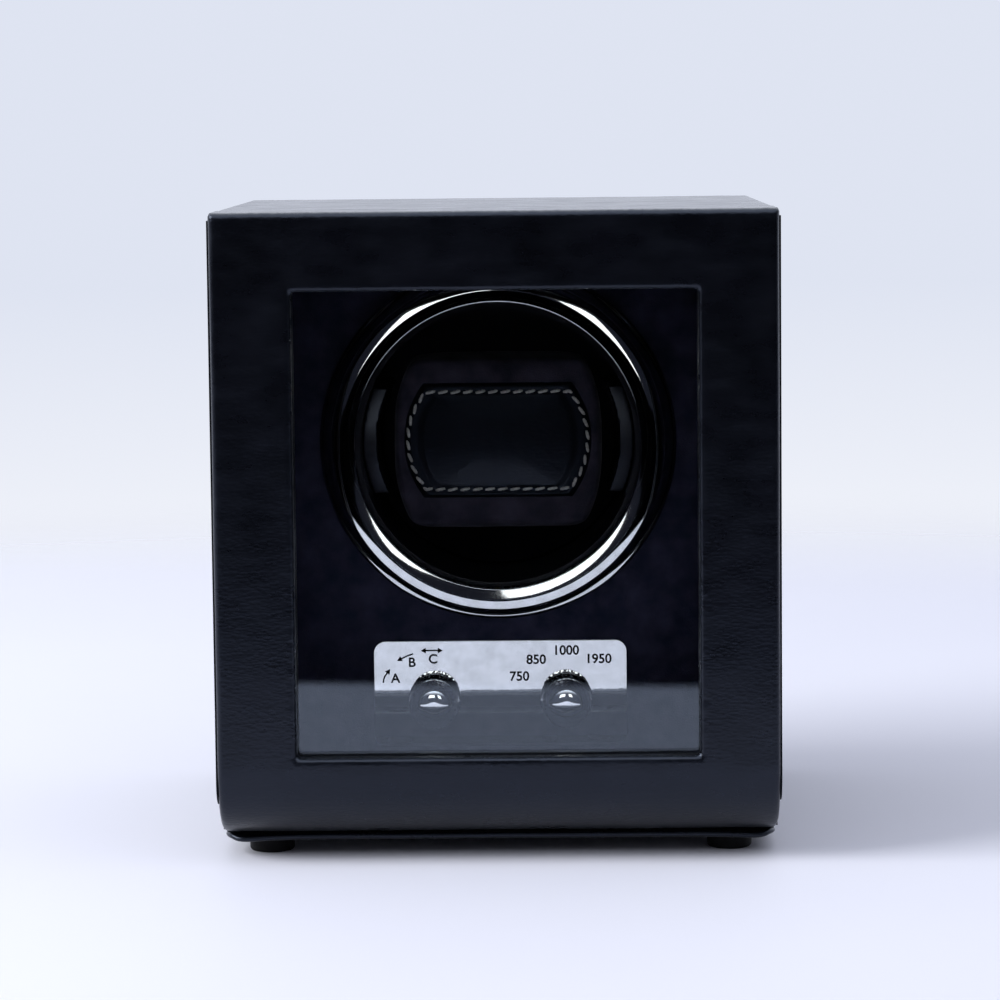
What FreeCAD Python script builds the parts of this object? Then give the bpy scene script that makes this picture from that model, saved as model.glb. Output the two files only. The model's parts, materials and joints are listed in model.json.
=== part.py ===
import FreeCAD, Part
import math
import os

import Sketcher
from fcgear import fcgear, involute

# A single watch winder: a leather-wrapped box with a hinged glass door. Behind the door a round
# drum turns slowly, driven by a gear motor, and carries a padded cuff that the watch is worn on.
# Millimetres. X to the right, Y to the back, Z up; the origin is on the floor, under the centre.

doc = FreeCAD.newDocument("WatchWinder")
sheet = doc.addObject("Spreadsheet::Sheet", "Sizes")
rows = []
nodes = []


# ---------------------------------------------------------------------------------- the sheet

class Size:
    """A length together with the spreadsheet expression that gives it."""

    def __init__(self, number, text):
        self.number = number
        self.text = text

    def __add__(self, other):
        return joined(self, "+", other, self.number + as_size(other).number)

    def __radd__(self, other):
        return as_size(other) + self

    def __sub__(self, other):
        return joined(self, "-", other, self.number - as_size(other).number)

    def __rsub__(self, other):
        return as_size(other) - self

    def __mul__(self, factor):
        return joined(self, "*", factor, self.number * as_size(factor).number)

    def __rmul__(self, factor):
        return self * factor

    def __truediv__(self, factor):
        return joined(self, "/", factor, self.number / as_size(factor).number)

    def __neg__(self):
        return Size(-self.number, f"(0 - {self.text})")


def as_size(value):
    return value if isinstance(value, Size) else Size(float(value), repr(float(value)))


def joined(left, sign, right, number):
    return Size(number, f"({left.text} {sign} {as_size(right).text})")


def size(name, value):
    """Put one driving dimension in the sheet, and return it as a Size."""
    rows.append(name)
    row = len(rows)
    sheet.set(f"A{row}", name)
    sheet.set(f"B{row}", str(value))
    sheet.setAlias(f"B{row}", name)
    return Size(float(value), f"Sizes.{name}")


# overall
wide = size("wide", 180)
deep = size("deep", 178)
tall = size("tall", 208)
foot_tall = size("foot_tall", 5.5)
foot_radius = size("foot_radius", 7.25)
foot_side = size("foot_side", 74.5)
foot_depth = size("foot_depth", 57)
foot_screw = size("foot_screw", 1.5)
foot_screw_head = size("foot_screw_head", 2.75)
foot_well = size("foot_well", 3.5)
base_thick = size("base_thick", 2)
base_inset = size("base_inset", 18)
base_side = size("base_side", 1)
base_corner = size("base_corner", 8)
# case
panel = size("panel", 12)
leather = size("leather", 0.6)
back_thick = size("back_thick", 6)
edge_round = size("edge_round", 2)
lining = size("lining", 1)
# door
door_thick = size("door_thick", 26)
door_gap = size("door_gap", 1)
door_lift = size("door_lift", 0.3)
foot_curve = size("foot_curve", 24)
window_wide = size("window_wide", 128)
window_low = size("window_low", 35)
window_high = size("window_high", 183)
glass_setback = size("glass_setback", 6)
glass_thick = size("glass_thick", 2.5)
rebate = size("rebate", 4)
bead_thick = size("bead_thick", 5)
strip_thick = size("strip_thick", 0.5)
strip_low = size("strip_low", 19)
strip_toe = size("strip_toe", 8)
# hinges, catches
hinge_low = size("hinge_low", 40)
hinge_high = size("hinge_high", 160)
hinge_tall = size("hinge_tall", 30)
knuckle = size("knuckle", 2)
pin_radius = size("pin_radius", 0.8)
leaf_thick = size("leaf_thick", 0.9)
leaf_wide = size("leaf_wide", 10.5)
hinge_inset = size("hinge_inset", 0.5)
hinge_play = size("hinge_play", 0.15)
seat_room = size("seat_room", 0.1)
magnet_radius = size("magnet_radius", 4)
magnet_tall = size("magnet_tall", 3)
striker_tall = size("striker_tall", 1)
bumper_radius = size("bumper_radius", 3)
bumper_tall = size("bumper_tall", 0.8)
# fascia and controls
fascia_set = size("fascia_set", 70)
fascia_thick = size("fascia_thick", 5)
plate_wide = size("plate_wide", 85)
plate_low = size("plate_low", 27)
plate_tall = size("plate_tall", 36)
plate_thick = size("plate_thick", 1.5)
plate_corner = size("plate_corner", 4)
knob_side = size("knob_side", 22)
knob_height = size("knob_height", 43)
knob_radius = size("knob_radius", 8.8)
knob_tall = size("knob_tall", 14)
shaft_radius = size("shaft_radius", 3)
# drum
drum_height = size("drum_height", 129.5)
drum_inner = size("drum_inner", 45.5)
drum_wall = size("drum_wall", 1.7)
drum_front = size("drum_front", 56)
drum_floor = size("drum_floor", 113)
floor_thick = size("floor_thick", 3)
ring_outer = size("ring_outer", 53.7)
ring_flange = size("ring_flange", 59.3)
ring_inner = size("ring_inner", 48.5)
ring_front = size("ring_front", 51)
ring_lip = size("ring_lip", 47.1)
ring_lip_thick = size("ring_lip_thick", 2.5)
arm_inner = size("arm_inner", 40.5)
arm_half_tall = size("arm_half_tall", 18)
arm_front = size("arm_front", 75)
axle_radius = size("axle_radius", 7)
drum_screw_circle = size("drum_screw_circle", 12.5)
running_fit = size("running_fit", 0.05)
# gears and motor
module = size("module", 1)
drum_teeth = size("drum_teeth", 72)
pinion_teeth = size("pinion_teeth", 12)
gear_face = size("gear_face", 4)
gear_slack = size("gear_slack", 0.15)
motor_radius = size("motor_radius", 12.5)
# cuff
cuff_wide = size("cuff_wide", 72)
cuff_tall = size("cuff_tall", 60)
cuff_taper = size("cuff_taper", 4)
cuff_level = size("cuff_level", 12)
cuff_corner = size("cuff_corner", 3)
cuff_core_wide = size("cuff_core_wide", 57)
cuff_front = size("cuff_front", 62)
cuff_deep = size("cuff_deep", 40)
cuff_skin = size("cuff_skin", 3)
patch_wide = size("patch_wide", 62)
patch_tall = size("patch_tall", 38)
patch_rise = size("patch_rise", 1.1)
patch_bevel = size("patch_bevel", 9)
patch_thick = size("patch_thick", 1.6)
stem_wide = size("stem_wide", 20)
stem_tall = size("stem_tall", 12)
stem_fit = size("stem_fit", 0.2)
doc.recompute()

# planes that most pieces are placed from
front = -deep / 2
rear = deep / 2
half_wide = wide / 2
door_back = front + door_thick
case_front = door_back + door_gap
base_top = foot_tall + base_thick
inner_half = half_wide - panel
inner_floor = base_top + panel
inner_roof = tall - panel
fascia_front = front + fascia_set
fascia_back = fascia_front + fascia_thick
plate_front = fascia_front - plate_thick
cup_floor = front + drum_floor
cup_back = cup_floor + floor_thick
hinge_x = -half_wide + hinge_inset
hinge_y = door_back + door_gap / 2
hinge_root = hinge_x + knuckle + 0.3
magnet_x = half_wide - panel / 2


# --------------------------------------------------------------------------- building blocks

def bind(item, path, value):
    item.setExpression(path, as_size(value).text)


def keep(item, label):
    """Make an object one of the winder's nodes, under the name it is known by."""
    item.Label = label
    nodes.append(item)
    return item


def box(label, x, y, z):
    """A block between three pairs of planes."""
    item = doc.addObject("Part::Box", label)
    for path, low, high in zip(("Length", "Width", "Height"), (x[0], y[0], z[0]), (x[1], y[1], z[1])):
        bind(item, path, as_size(high) - low)
    for axis, pair in zip("xyz", (x, y, z)):
        bind(item, "Placement.Base." + axis, pair[0])
    return item


TURNS = {
    "Y": FreeCAD.Rotation(FreeCAD.Vector(1, 0, 0), -90),
    "Z": FreeCAD.Rotation(),
}


def rod(label, axis, at, span, radius):
    """A cylinder along one axis. at gives its two other coordinates, in the order X, Y, Z."""
    item = doc.addObject("Part::Cylinder", label)
    bind(item, "Radius", radius)
    bind(item, "Height", as_size(span[1]) - span[0])
    item.Placement = FreeCAD.Placement(FreeCAD.Vector(), TURNS[axis])
    places = list(at)
    places.insert("XYZ".index(axis), span[0])
    for letter, value in zip("xyz", places):
        bind(item, "Placement.Base." + letter, value)
    return item


def cut(label, base, tools):
    item = doc.addObject("Part::Cut", label)
    item.Base = base
    item.Tool = tools[0] if len(tools) == 1 else fuse(label + "_tools", tools)
    return item


def fuse(label, pieces):
    item = doc.addObject("Part::MultiFuse", label)
    item.Shapes = pieces
    item.Refine = True
    return item


def common(label, one, other):
    item = doc.addObject("Part::Common", label)
    item.Base = one
    item.Tool = other
    return item


def group(label, pieces):
    """Separate like solids that share one node."""
    item = doc.addObject("Part::Compound", label)
    item.Links = pieces
    return item


def new_body(label, x=0, z=0):
    body = doc.addObject("PartDesign::Body", label)
    bind(body, "Placement.Base.x", x)
    bind(body, "Placement.Base.z", z)
    return body


def new_sketch(body, role, offset=0):
    """A sketch on one of the body's own origin planes, moved along the plane's normal."""
    sketch = body.newObject("Sketcher::SketchObject", body.Name + "_sketch")
    plane = next(item for item in body.Origin.OriginFeatures if item.Role == role)
    sketch.AttachmentSupport = [(plane, "")]
    sketch.MapMode = "FlatFace"
    bind(sketch, "AttachmentOffset.Base.z", offset)
    return sketch


def fix_point(sketch, geometry, place, point):
    """Tie one point of a sketch to its two coordinates."""
    for kind, value in zip(("DistanceX", "DistanceY"), point):
        value = as_size(value)
        index = sketch.addConstraint(
            Sketcher.Constraint(kind, -1, 1, geometry, place, value.number))
        sketch.setExpression(f"Constraints[{index}]", value.text)


def outline(sketch, points):
    """A closed chain of straight lines through the points."""
    places = [FreeCAD.Vector(as_size(x).number, as_size(y).number, 0) for x, y in points]
    first = len(sketch.Geometry)
    count = len(places)
    for index, place in enumerate(places):
        sketch.addGeometry(Part.LineSegment(place, places[(index + 1) % count]), False)
    for index in range(count):
        following = first + (index + 1) % count
        sketch.addConstraint(Sketcher.Constraint("Coincident", first + index, 2, following, 1))
    for index, point in enumerate(points):
        fix_point(sketch, first + index, 1, point)


def rectangle(sketch, x, y):
    outline(sketch, [(x[0], y[0]), (x[1], y[0]), (x[1], y[1]), (x[0], y[1])])


def circle(sketch, centre, radius):
    places = [as_size(value).number for value in centre]
    radius = as_size(radius)
    index = sketch.addGeometry(
        Part.Circle(FreeCAD.Vector(*places, 0), FreeCAD.Vector(0, 0, 1), radius.number), False)
    rule = sketch.addConstraint(Sketcher.Constraint("Radius", index, radius.number))
    sketch.setExpression(f"Constraints[{rule}]", radius.text)
    fix_point(sketch, index, 3, centre)


def pad(body, sketch, length, backwards=True):
    feature = body.newObject("PartDesign::Pad", body.Name + "_pad")
    feature.Profile = sketch
    feature.Reversed = backwards
    bind(feature, "Length", length)
    sketch.Visibility = False
    return feature


def pocket(body, sketch, length, backwards):
    """Cut the sketch's outline into the body, and make sure that something was cut."""
    before = body.Shape.Volume
    feature = body.newObject("PartDesign::Pocket", body.Name + "_pocket")
    feature.Profile = sketch
    feature.Reversed = backwards
    bind(feature, "Length", length)
    doc.recompute()
    if body.Shape.Volume >= before - 1e-6:
        raise RuntimeError(f"{feature.Label} cuts nothing")
    return feature


def fillet(body, radius, wanted):
    """Round the edges of the body whose box centre passes the test."""
    doc.recompute()
    base = body.Tip
    names = [f"Edge{index + 1}" for index, edge in enumerate(base.Shape.Edges)
             if wanted(edge.BoundBox.Center, edge)]
    if not names:
        raise RuntimeError(f"no edge to round on {body.Label}")
    feature = body.newObject("PartDesign::Fillet", body.Name + "_fillet")
    feature.Base = (base, names)
    bind(feature, "Radius", radius)
    doc.recompute()
    return feature


def plate(label, x, z, y, holes=()):
    """A flat piece that faces the front: a rectangle with rectangular or round holes."""
    body = new_body(label)
    sketch = new_sketch(body, "XZ_Plane", -as_size(y[0]))
    rectangle(sketch, x, z)
    for hole in holes:
        if len(hole) == 2:
            rectangle(sketch, *hole)
        else:
            circle(sketch, hole[:2], hole[2])
    pad(body, sketch, as_size(y[1]) - y[0])
    return body


def turned(label, profile, x=0, z=0):
    """A piece turned about a line along Y: the profile's points are (radius, Y)."""
    body = new_body(label, x, z)
    sketch = new_sketch(body, "XY_Plane")
    outline(sketch, profile)
    feature = body.newObject("PartDesign::Revolution", body.Name + "_turn")
    feature.Profile = sketch
    feature.ReferenceAxis = (sketch, ["V_Axis"])
    feature.Angle = 360
    sketch.Visibility = False
    return body


def screw(label, x, z, head_y, tip_y, head_radius, head_tall, shank_radius):
    """A pan head screw along Y. The head stands before head_y, seen from the tip."""
    toward = 1 if as_size(tip_y).number > as_size(head_y).number else -1
    top = as_size(head_y) - head_tall * toward
    return turned(label, [(0, top), (head_radius, top), (head_radius, head_y),
                          (shank_radius, head_y), (shank_radius, tip_y), (0, tip_y)], x, z)


def in_order(one, other):
    """Two planes as Sizes, the lower one first."""
    return sorted((as_size(one), as_size(other)), key=lambda plane: plane.number)


def near(value, target):
    return abs(value - as_size(target).number) < 0.05


# --------------------------------------------------------------------------------- the case

def make_case():
    """Four fibreboard panels glued into a tube, and the leather glued round them."""
    length = (case_front, rear)
    skin = half_wide - leather
    for name, sign in (("left", -1), ("right", 1)):
        board = box(f"case_{name}_board", in_order(skin * sign, inner_half * sign), length,
                    (base_top, inner_roof))
        seats = panel_seats(name, sign)
        keep(cut(f"case_{name}_panel_cut", board, seats), f"case_{name}_panel")
    top = box("case_top_board", (-skin, skin), length, (inner_roof, tall - leather))
    keep(rounded_top(top, "case_top_cut", edge_round - leather), "case_top_panel")
    bottom = box("case_bottom", (-inner_half, inner_half), length, (base_top, inner_floor))
    keep(cut("case_bottom_cut", bottom, foot_screw_holes("bottom")), "case_bottom_panel")
    keep(make_wrap(length, skin), "case_leather")


def rounded_top(item, label, radius):
    """Round the two long upper edges of a block."""
    doc.recompute()
    feature = doc.addObject("Part::Fillet", label)
    feature.Base = item
    high = item.Shape.BoundBox.ZMax
    edges = []
    for index, edge in enumerate(item.Shape.Edges):
        middle = edge.BoundBox.Center
        if abs(middle.z - high) < 1e-3 and edge.BoundBox.YLength > 1:
            edges.append((index + 1, radius.number, radius.number))
    feature.Edges = edges
    return feature


def make_wrap(length, skin):
    """The leather: over the left side, the top and the right side, in one piece."""
    outer = box("wrap_outer", (-half_wide, half_wide), length, (base_top, tall))
    inner = box("wrap_inner", (-skin, skin), length, (base_top - 1, tall - leather))
    outer_round = rounded_top(outer, "wrap_outer_round", edge_round)
    inner_round = rounded_top(inner, "wrap_inner_round", edge_round - leather)
    seats = [hinge_seat(f"wrap_{name}", low, case_front, 1) for name, low in HINGES.items()]
    return cut("case_leather_cut", outer_round, [inner_round] + seats)


def hinge_seat(name, low, face, direction):
    """The shallow seat of a hinge leaf, with the notch its knuckles turn in."""
    leaf = in_order(face, face + (leaf_thick + seat_room) * direction)
    notch = in_order(face, face + (knuckle + seat_room) * direction)
    height = (low - seat_room, low + hinge_tall + seat_room)
    return fuse(f"{name}_{direction}_seat", [
        box(f"{name}_leaf_seat", (-half_wide - 1, hinge_x + leaf_wide + seat_room), leaf, height),
        box(f"{name}_knuckle_seat", (-half_wide - 1, hinge_root), notch, height),
    ])


def panel_seats(name, sign):
    """What is cut into a side panel's front edge: hinge seats, or magnet holes."""
    if sign < 0:
        seats = [hinge_seat(f"panel_{label}", low, case_front, 1) for label, low in HINGES.items()]
        return seats + leaf_screw_holes("panel", case_front, LEAF_SCREW_DEEP, 1)
    return [rod(f"magnet_hole_{label}", "Y", (magnet_x, height),
                (case_front - 1, case_front + magnet_tall), magnet_radius)
            for label, height in CATCHES.items()]


def leaf_screw_holes(name, face, length, direction):
    """Holes for the two screws of each hinge leaf."""
    span = in_order(face, face + length * direction)
    return [rod(f"{name}_{index}_pilot", "Y", (LEAF_SCREW_X, height), span, LEAF_SCREW_RADIUS)
            for index, height in enumerate(LEAF_SCREW_HEIGHTS)]


def leaf_screws(label, face, direction):
    """Countersunk screws that hold the hinge leaves: two in each."""
    head = face + leaf_sink(direction)
    tip = face + LEAF_SCREW_DEEP * direction
    outer = head - leaf_thick * direction
    screws = [turned(f"{label}_{index}", [
        (0, outer), (LEAF_HEAD_RADIUS, outer), (LEAF_SCREW_RADIUS, head),
        (LEAF_SCREW_RADIUS, tip), (0, tip)], LEAF_SCREW_X, height)
        for index, height in enumerate(LEAF_SCREW_HEIGHTS)]
    return keep(group(label + "_group", screws), label)


def leaf_sink(direction):
    return (leaf_thick + seat_room) * direction


def foot_screw_holes(name):
    return [rod(f"{name}_foot_hole_{index}", "Z", place, (foot_tall - 1, FOOT_SCREW_TOP), foot_screw)
            for index, place in enumerate(FEET.values())]


HINGES = {"lower": hinge_low, "upper": hinge_high}
CATCHES = {"lower": hinge_low + hinge_tall / 2, "upper": hinge_high + hinge_tall / 2}
FEET = {
    "front_left": (-foot_side, -foot_depth), "front_right": (foot_side, -foot_depth),
    "rear_left": (-foot_side, foot_depth), "rear_right": (foot_side, foot_depth),
}
BUMPER_DROP = 15
LEAF_SCREW_X = hinge_x + 7
LEAF_SCREW_HEIGHTS = [low + hinge_tall * part for low in HINGES.values() for part in (0.2, 0.8)]
LEAF_SCREW_RADIUS = 0.9
LEAF_HEAD_RADIUS = 1.8
LEAF_SCREW_DEEP = 8.0
FOOT_SCREW_LOW = 1.5
FOOT_SCREW_TOP = inner_floor - 2


def make_base():
    """The thin wrapped board whose front edge shows as a lip under the door, and the feet."""
    side = half_wide - base_side
    board = box("base_block", (-side, side), (front + base_inset, rear - base_side / 2),
                (foot_tall, base_top))
    doc.recompute()
    rounded = doc.addObject("Part::Fillet", "base_round")
    rounded.Base = board
    corner = base_corner.number
    rounded.Edges = [(index + 1, corner, corner) for index, edge in enumerate(board.Shape.Edges)
                     if edge.BoundBox.ZLength > 1]
    keep(cut("base_cut", rounded, foot_screw_holes("base")), "base_board")
    screws = []
    feet = []
    for name, (x, y) in FEET.items():
        feet.append(make_foot(name, x, y))
        shank = rod(f"foot_shank_{name}", "Z", (x, y), (FOOT_SCREW_LOW, FOOT_SCREW_TOP), foot_screw)
        head = rod(f"foot_head_{name}", "Z", (x, y), (FOOT_SCREW_LOW, foot_well), foot_screw_head)
        screws.append(fuse(f"foot_screw_{name}", [shank, head]))
    keep(group("foot_group", feet), "rubber_feet")
    keep(group("foot_screw_group", screws), "foot_screws")


def make_foot(name, x, y):
    """A round rubber foot with a well for its screw and a rounded lower edge."""
    body = doc.addObject("PartDesign::Body", f"foot_{name}_body")
    bind(body, "Placement.Base.x", x)
    bind(body, "Placement.Base.y", y)
    sketch = new_sketch(body, "XZ_Plane")
    outline(sketch, [(foot_screw, foot_well), (foot_screw_head, foot_well),
                     (foot_screw_head, FOOT_SCREW_LOW), (foot_screw_head + 0.25, 0),
                     (foot_radius - 1, 0), (foot_radius - 0.3, 0.3), (foot_radius, 1),
                     (foot_radius, foot_tall), (foot_screw, foot_tall)])
    feature = body.newObject("PartDesign::Revolution", body.Name + "_turn")
    feature.Profile = sketch
    feature.ReferenceAxis = (sketch, ["V_Axis"])
    feature.Angle = 360
    return body


def make_linings():
    """Thin covered boards that line the display compartment between door and fascia."""
    y = (case_front, fascia_front)
    inner = inner_half - lining
    upright = (inner_floor, inner_roof)
    sides = [box("lining_left", (-inner_half, -inner), y, upright),
             box("lining_right", (inner, inner_half), y, upright)]
    keep(group("lining_side_group", sides), "lining_sides")
    flats = [box("lining_floor", (-inner, inner), y, (inner_floor, inner_floor + lining)),
             box("lining_roof", (-inner, inner), y, (inner_roof - lining, inner_roof))]
    keep(group("lining_flat_group", flats), "lining_floor_and_roof")


def make_catches():
    """Magnets in the case, steel discs in the door, and soft bumpers between the two."""
    magnets = [rod(f"magnet_{name}", "Y", (magnet_x, height),
                   (case_front, case_front + magnet_tall), magnet_radius)
               for name, height in CATCHES.items()]
    keep(group("magnet_group", magnets), "door_magnets")
    discs = [rod(f"striker_{name}", "Y", (magnet_x, height),
                 (door_back - striker_tall, door_back), magnet_radius)
             for name, height in CATCHES.items()]
    keep(group("striker_group", discs), "door_strikers")
    bumpers = [rod(f"bumper_{name}", "Y", (magnet_x, height - BUMPER_DROP),
                   (case_front - bumper_tall, case_front), bumper_radius)
               for name, height in CATCHES.items()]
    keep(group("bumper_group", bumpers), "door_bumpers")


# ----------------------------------------------------------------------------- back of the case

COVER_HALF = 58.0
COVER_LOW = 66.0
COVER_HIGH = 176.0
COVER_LAP = 6.0
COVER_THICK = 2.0
COVER_SCREW = 1.25
COVER_SCREW_HEAD = 2.75
SLOT_HALF = 32
SLOT_TALL = 3
SLOT_PITCH = 9
SLOT_LOW = 94
SLOT_COUNT = 7
JACK_X = 52.0
JACK_Z = 38.0
JACK_RADIUS = 5
JACK_FLANGE = 7
JACK_FLANGE_THICK = 1.5
JACK_DEEP = 12.5


def make_back():
    """The back panel with its access cover and the power inlet."""
    opening = ((-COVER_HALF + COVER_LAP, COVER_HALF - COVER_LAP),
               (COVER_LOW + COVER_LAP, COVER_HIGH - COVER_LAP))
    corners = [(x * (COVER_HALF - COVER_LAP / 2), z) for x in (-1, 1)
               for z in (COVER_LOW + COVER_LAP / 2, COVER_HIGH - COVER_LAP / 2)]
    face = rear - back_thick
    board = plate("back_board", (-inner_half, inner_half), (inner_floor, inner_roof),
                  (face, rear), [opening])
    seat = box("cover_seat", (-COVER_HALF, COVER_HALF), (rear - COVER_THICK, rear + 1),
               (COVER_LOW, COVER_HIGH))
    pilots = [rod(f"cover_pilot_{index}", "Y", place, (face + 1, rear), COVER_SCREW)
              for index, place in enumerate(corners)]
    jack = (JACK_X, JACK_Z)
    flange_back = rear - JACK_FLANGE_THICK
    jack_hole = rod("jack_hole", "Y", jack, (face - 1, rear + 1), JACK_RADIUS)
    jack_seat = rod("jack_seat", "Y", jack, (flange_back, rear + 1), JACK_FLANGE)
    keep(cut("back_cut", board, [seat, jack_hole, jack_seat] + pilots), "back_panel")

    slots = [((-SLOT_HALF, SLOT_HALF), (low, low + SLOT_TALL))
             for low in range(SLOT_LOW, SLOT_LOW + SLOT_PITCH * SLOT_COUNT, SLOT_PITCH)]
    cover = plate("cover_board", (-COVER_HALF, COVER_HALF), (COVER_LOW, COVER_HIGH),
                  (rear - COVER_THICK, rear), slots)
    doc.recompute()
    sinks = [turned(f"cover_sink_{index}", [
        (0, rear), (COVER_SCREW_HEAD, rear), (COVER_SCREW, rear - COVER_THICK),
        (0, rear - COVER_THICK)], *place)
        for index, place in enumerate(corners)]
    keep(cut("cover_cut", cover, sinks), "rear_cover")
    screws = [turned(f"cover_screw_{index}", [
        (0, rear), (COVER_SCREW_HEAD, rear), (COVER_SCREW, rear - COVER_THICK),
        (COVER_SCREW, face + 1), (0, face + 1)], *place)
        for index, place in enumerate(corners)]
    keep(group("cover_screw_group", screws), "rear_cover_screws")

    socket = 2.8
    pin = 1
    socket_floor = rear - 11
    keep(turned("jack_turn", [
        (pin, socket_floor), (pin, rear - 3), (0, rear - 2.6), (0, rear - JACK_DEEP),
        (JACK_RADIUS, rear - JACK_DEEP), (JACK_RADIUS, flange_back), (JACK_FLANGE, flange_back),
        (JACK_FLANGE, rear), (socket + 0.4, rear), (socket, rear - 0.6),
        (socket, socket_floor)], *jack), "power_jack")
    nut = JACK_RADIUS + 2.5
    keep(turned("jack_nut_turn", [
        (JACK_RADIUS, face - 2), (nut, face - 2), (nut, face), (JACK_RADIUS, face)], *jack),
        "power_jack_nut")


# --------------------------------------------------------------------------------- the door

def make_door():
    """A thick frame whose lower front edge curves back, with the glass set in a rebate."""
    frame = new_body("door_board")
    board_half = half_wide - strip_thick
    low = base_top + door_lift
    window = ((-window_wide / 2, window_wide / 2), (window_low, window_high))
    sketch = new_sketch(frame, "XZ_Plane", -front)
    rectangle(sketch, (-board_half, board_half), (low, tall))
    rectangle(sketch, *window)
    pad(frame, sketch, door_thick)
    fillet(frame, foot_curve, lambda middle, edge: near(middle.z, low) and near(middle.y, front))
    fillet(frame, edge_round, outer_front_edge(board_half))
    fillet(frame, edge_round - 0.5, window_front_edge)
    wide_window = ((-window_wide / 2 - rebate, window_wide / 2 + rebate),
                   (window_low - rebate, window_high + rebate))
    rebate_sketch = new_sketch(frame, "XZ_Plane", -(front + glass_setback))
    rectangle(rebate_sketch, *wide_window)
    pocket(frame, rebate_sketch, door_thick, False)
    seats = [hinge_seat(f"door_{name}", low_end, door_back, -1) for name, low_end in HINGES.items()]
    seats += leaf_screw_holes("door", door_back, LEAF_SCREW_DEEP, -1)
    seats += [rod(f"striker_hole_{name}", "Y", (magnet_x, height),
                  (door_back - striker_tall, door_back + 1), magnet_radius)
              for name, height in CATCHES.items()]
    keep(cut("door_cut", frame, seats), "door_frame")

    glass_front = front + glass_setback
    glass_back = glass_front + glass_thick
    keep(plate("glass_pane", *wide_window, (glass_front, glass_back)), "door_glass")
    keep(plate("bead_frame", *wide_window, (glass_back, glass_back + bead_thick), [window]),
         "glass_bead")
    keep(plate("door_lining_frame", (-inner_half, inner_half),
               (window_low - rebate - 8, window_high + rebate + 8),
               (door_back, door_back + 0.5), [wide_window]), "door_lining")
    strips = []
    for name, sign in (("left", -1), ("right", 1)):
        x = in_order(board_half * sign, half_wide * sign)
        strip = round_toe(box(f"strip_{name}", x, (front + edge_round + 0.5, door_back - 0.5),
                              (strip_low, tall - edge_round - 0.5)))
        if sign < 0:
            notches = [hinge_seat(f"strip_{label}", low_end, door_back, -1)
                       for label, low_end in HINGES.items()]
            strip = cut("strip_left_cut", strip, notches)
        strips.append(strip)
    keep(group("strip_group", strips), "door_side_strips")


def round_toe(strip):
    """Round the lower front corner of a side strip, to follow the door's curve."""
    doc.recompute()
    feature = doc.addObject("Part::Fillet", strip.Name + "_round")
    feature.Base = strip
    extent = strip.Shape.BoundBox
    radius = strip_toe.number
    feature.Edges = [(index + 1, radius, radius) for index, edge in enumerate(strip.Shape.Edges)
                     if edge.BoundBox.Center.y < extent.YMin + 0.1
                     and edge.BoundBox.Center.z < extent.ZMin + 0.1]
    return feature


def outer_front_edge(board_half):
    """The test for the front edges of the left side, right side and top, down to the curve."""
    side = board_half.number

    def wanted(middle, edge):
        box_of = edge.BoundBox
        on_side = abs(abs(middle.x) - side) < 0.05 and box_of.XLength < 0.01
        at_front = near(box_of.YMin, front)
        upright = box_of.ZLength > 5
        along_top = near(middle.z, tall) and near(middle.y, front)
        return (on_side and at_front and upright) or along_top

    return wanted


def window_front_edge(middle, edge):
    inside = abs(middle.x) <= window_wide.number / 2 + 0.05
    level = window_low.number - 0.05 <= middle.z <= window_high.number + 0.05
    return near(middle.y, front) and edge.BoundBox.YLength < 0.01 and inside and level \
        and edge.BoundBox.XLength <= window_wide.number + 0.1


def make_hinges():
    """Two butt hinges: the case leaf has the outer knuckles and the door leaf the middle one."""
    third = hinge_tall / 3
    case_leaves = []
    door_leaves = []
    pins = []
    for name, low in HINGES.items():
        outer = [(low, low + third - hinge_play), (low + third * 2 + hinge_play, low + hinge_tall)]
        middle = [(low + third + hinge_play, low + third * 2 - hinge_play)]
        case_leaves.append(hinge_leaf(f"{name}_case", low, case_front, 1, outer, pin_radius))
        door_leaves.append(
            hinge_leaf(f"{name}_door", low, door_back, -1, middle, pin_radius + running_fit))
        pins.append(rod(f"pin_{name}", "Z", (hinge_x, hinge_y), (low, low + hinge_tall), pin_radius))
    keep(group("case_leaf_group", case_leaves), "hinge_case_leaves")
    keep(group("door_leaf_group", door_leaves), "hinge_door_leaves")
    keep(group("pin_group", pins), "hinge_pins")
    leaf_screws("hinge_case_screws", case_front, 1)
    leaf_screws("hinge_door_screws", door_back, -1)


def hinge_leaf(name, low, face, direction, knuckles, bore):
    """One leaf: a thin plate sunk in its seat, with its knuckles rolled round the pin."""
    seat = face + leaf_sink(direction)
    thickness = in_order(seat, seat - leaf_thick * direction)
    pieces = [box(f"{name}_plate", (hinge_root, hinge_x + leaf_wide), thickness,
                  (low, low + hinge_tall))]
    for index, (start, end) in enumerate(knuckles):
        pieces.append(rod(f"{name}_knuckle_{index}", "Z", (hinge_x, hinge_y), (start, end), knuckle))
        pieces.append(box(f"{name}_web_{index}", (hinge_x, hinge_root), thickness,
                          (start, end)))
    tools = [rod(f"{name}_bore", "Z", (hinge_x, hinge_y), (low - 1, low + hinge_tall + 1), bore)]
    for index, height in enumerate(LEAF_SCREW_HEIGHTS):
        if low.number < height.number < low.number + hinge_tall.number:
            outer = seat - leaf_thick * direction
            tools.append(turned(f"{name}_sink_{index}", [
                (0, outer), (LEAF_HEAD_RADIUS, outer), (LEAF_SCREW_RADIUS, seat), (0, seat)],
                LEAF_SCREW_X, height))
    return cut(f"{name}_leaf_cut", fuse(f"{name}_leaf_fuse", pieces), tools)


# ------------------------------------------------------------------------ fascia and controls

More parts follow.
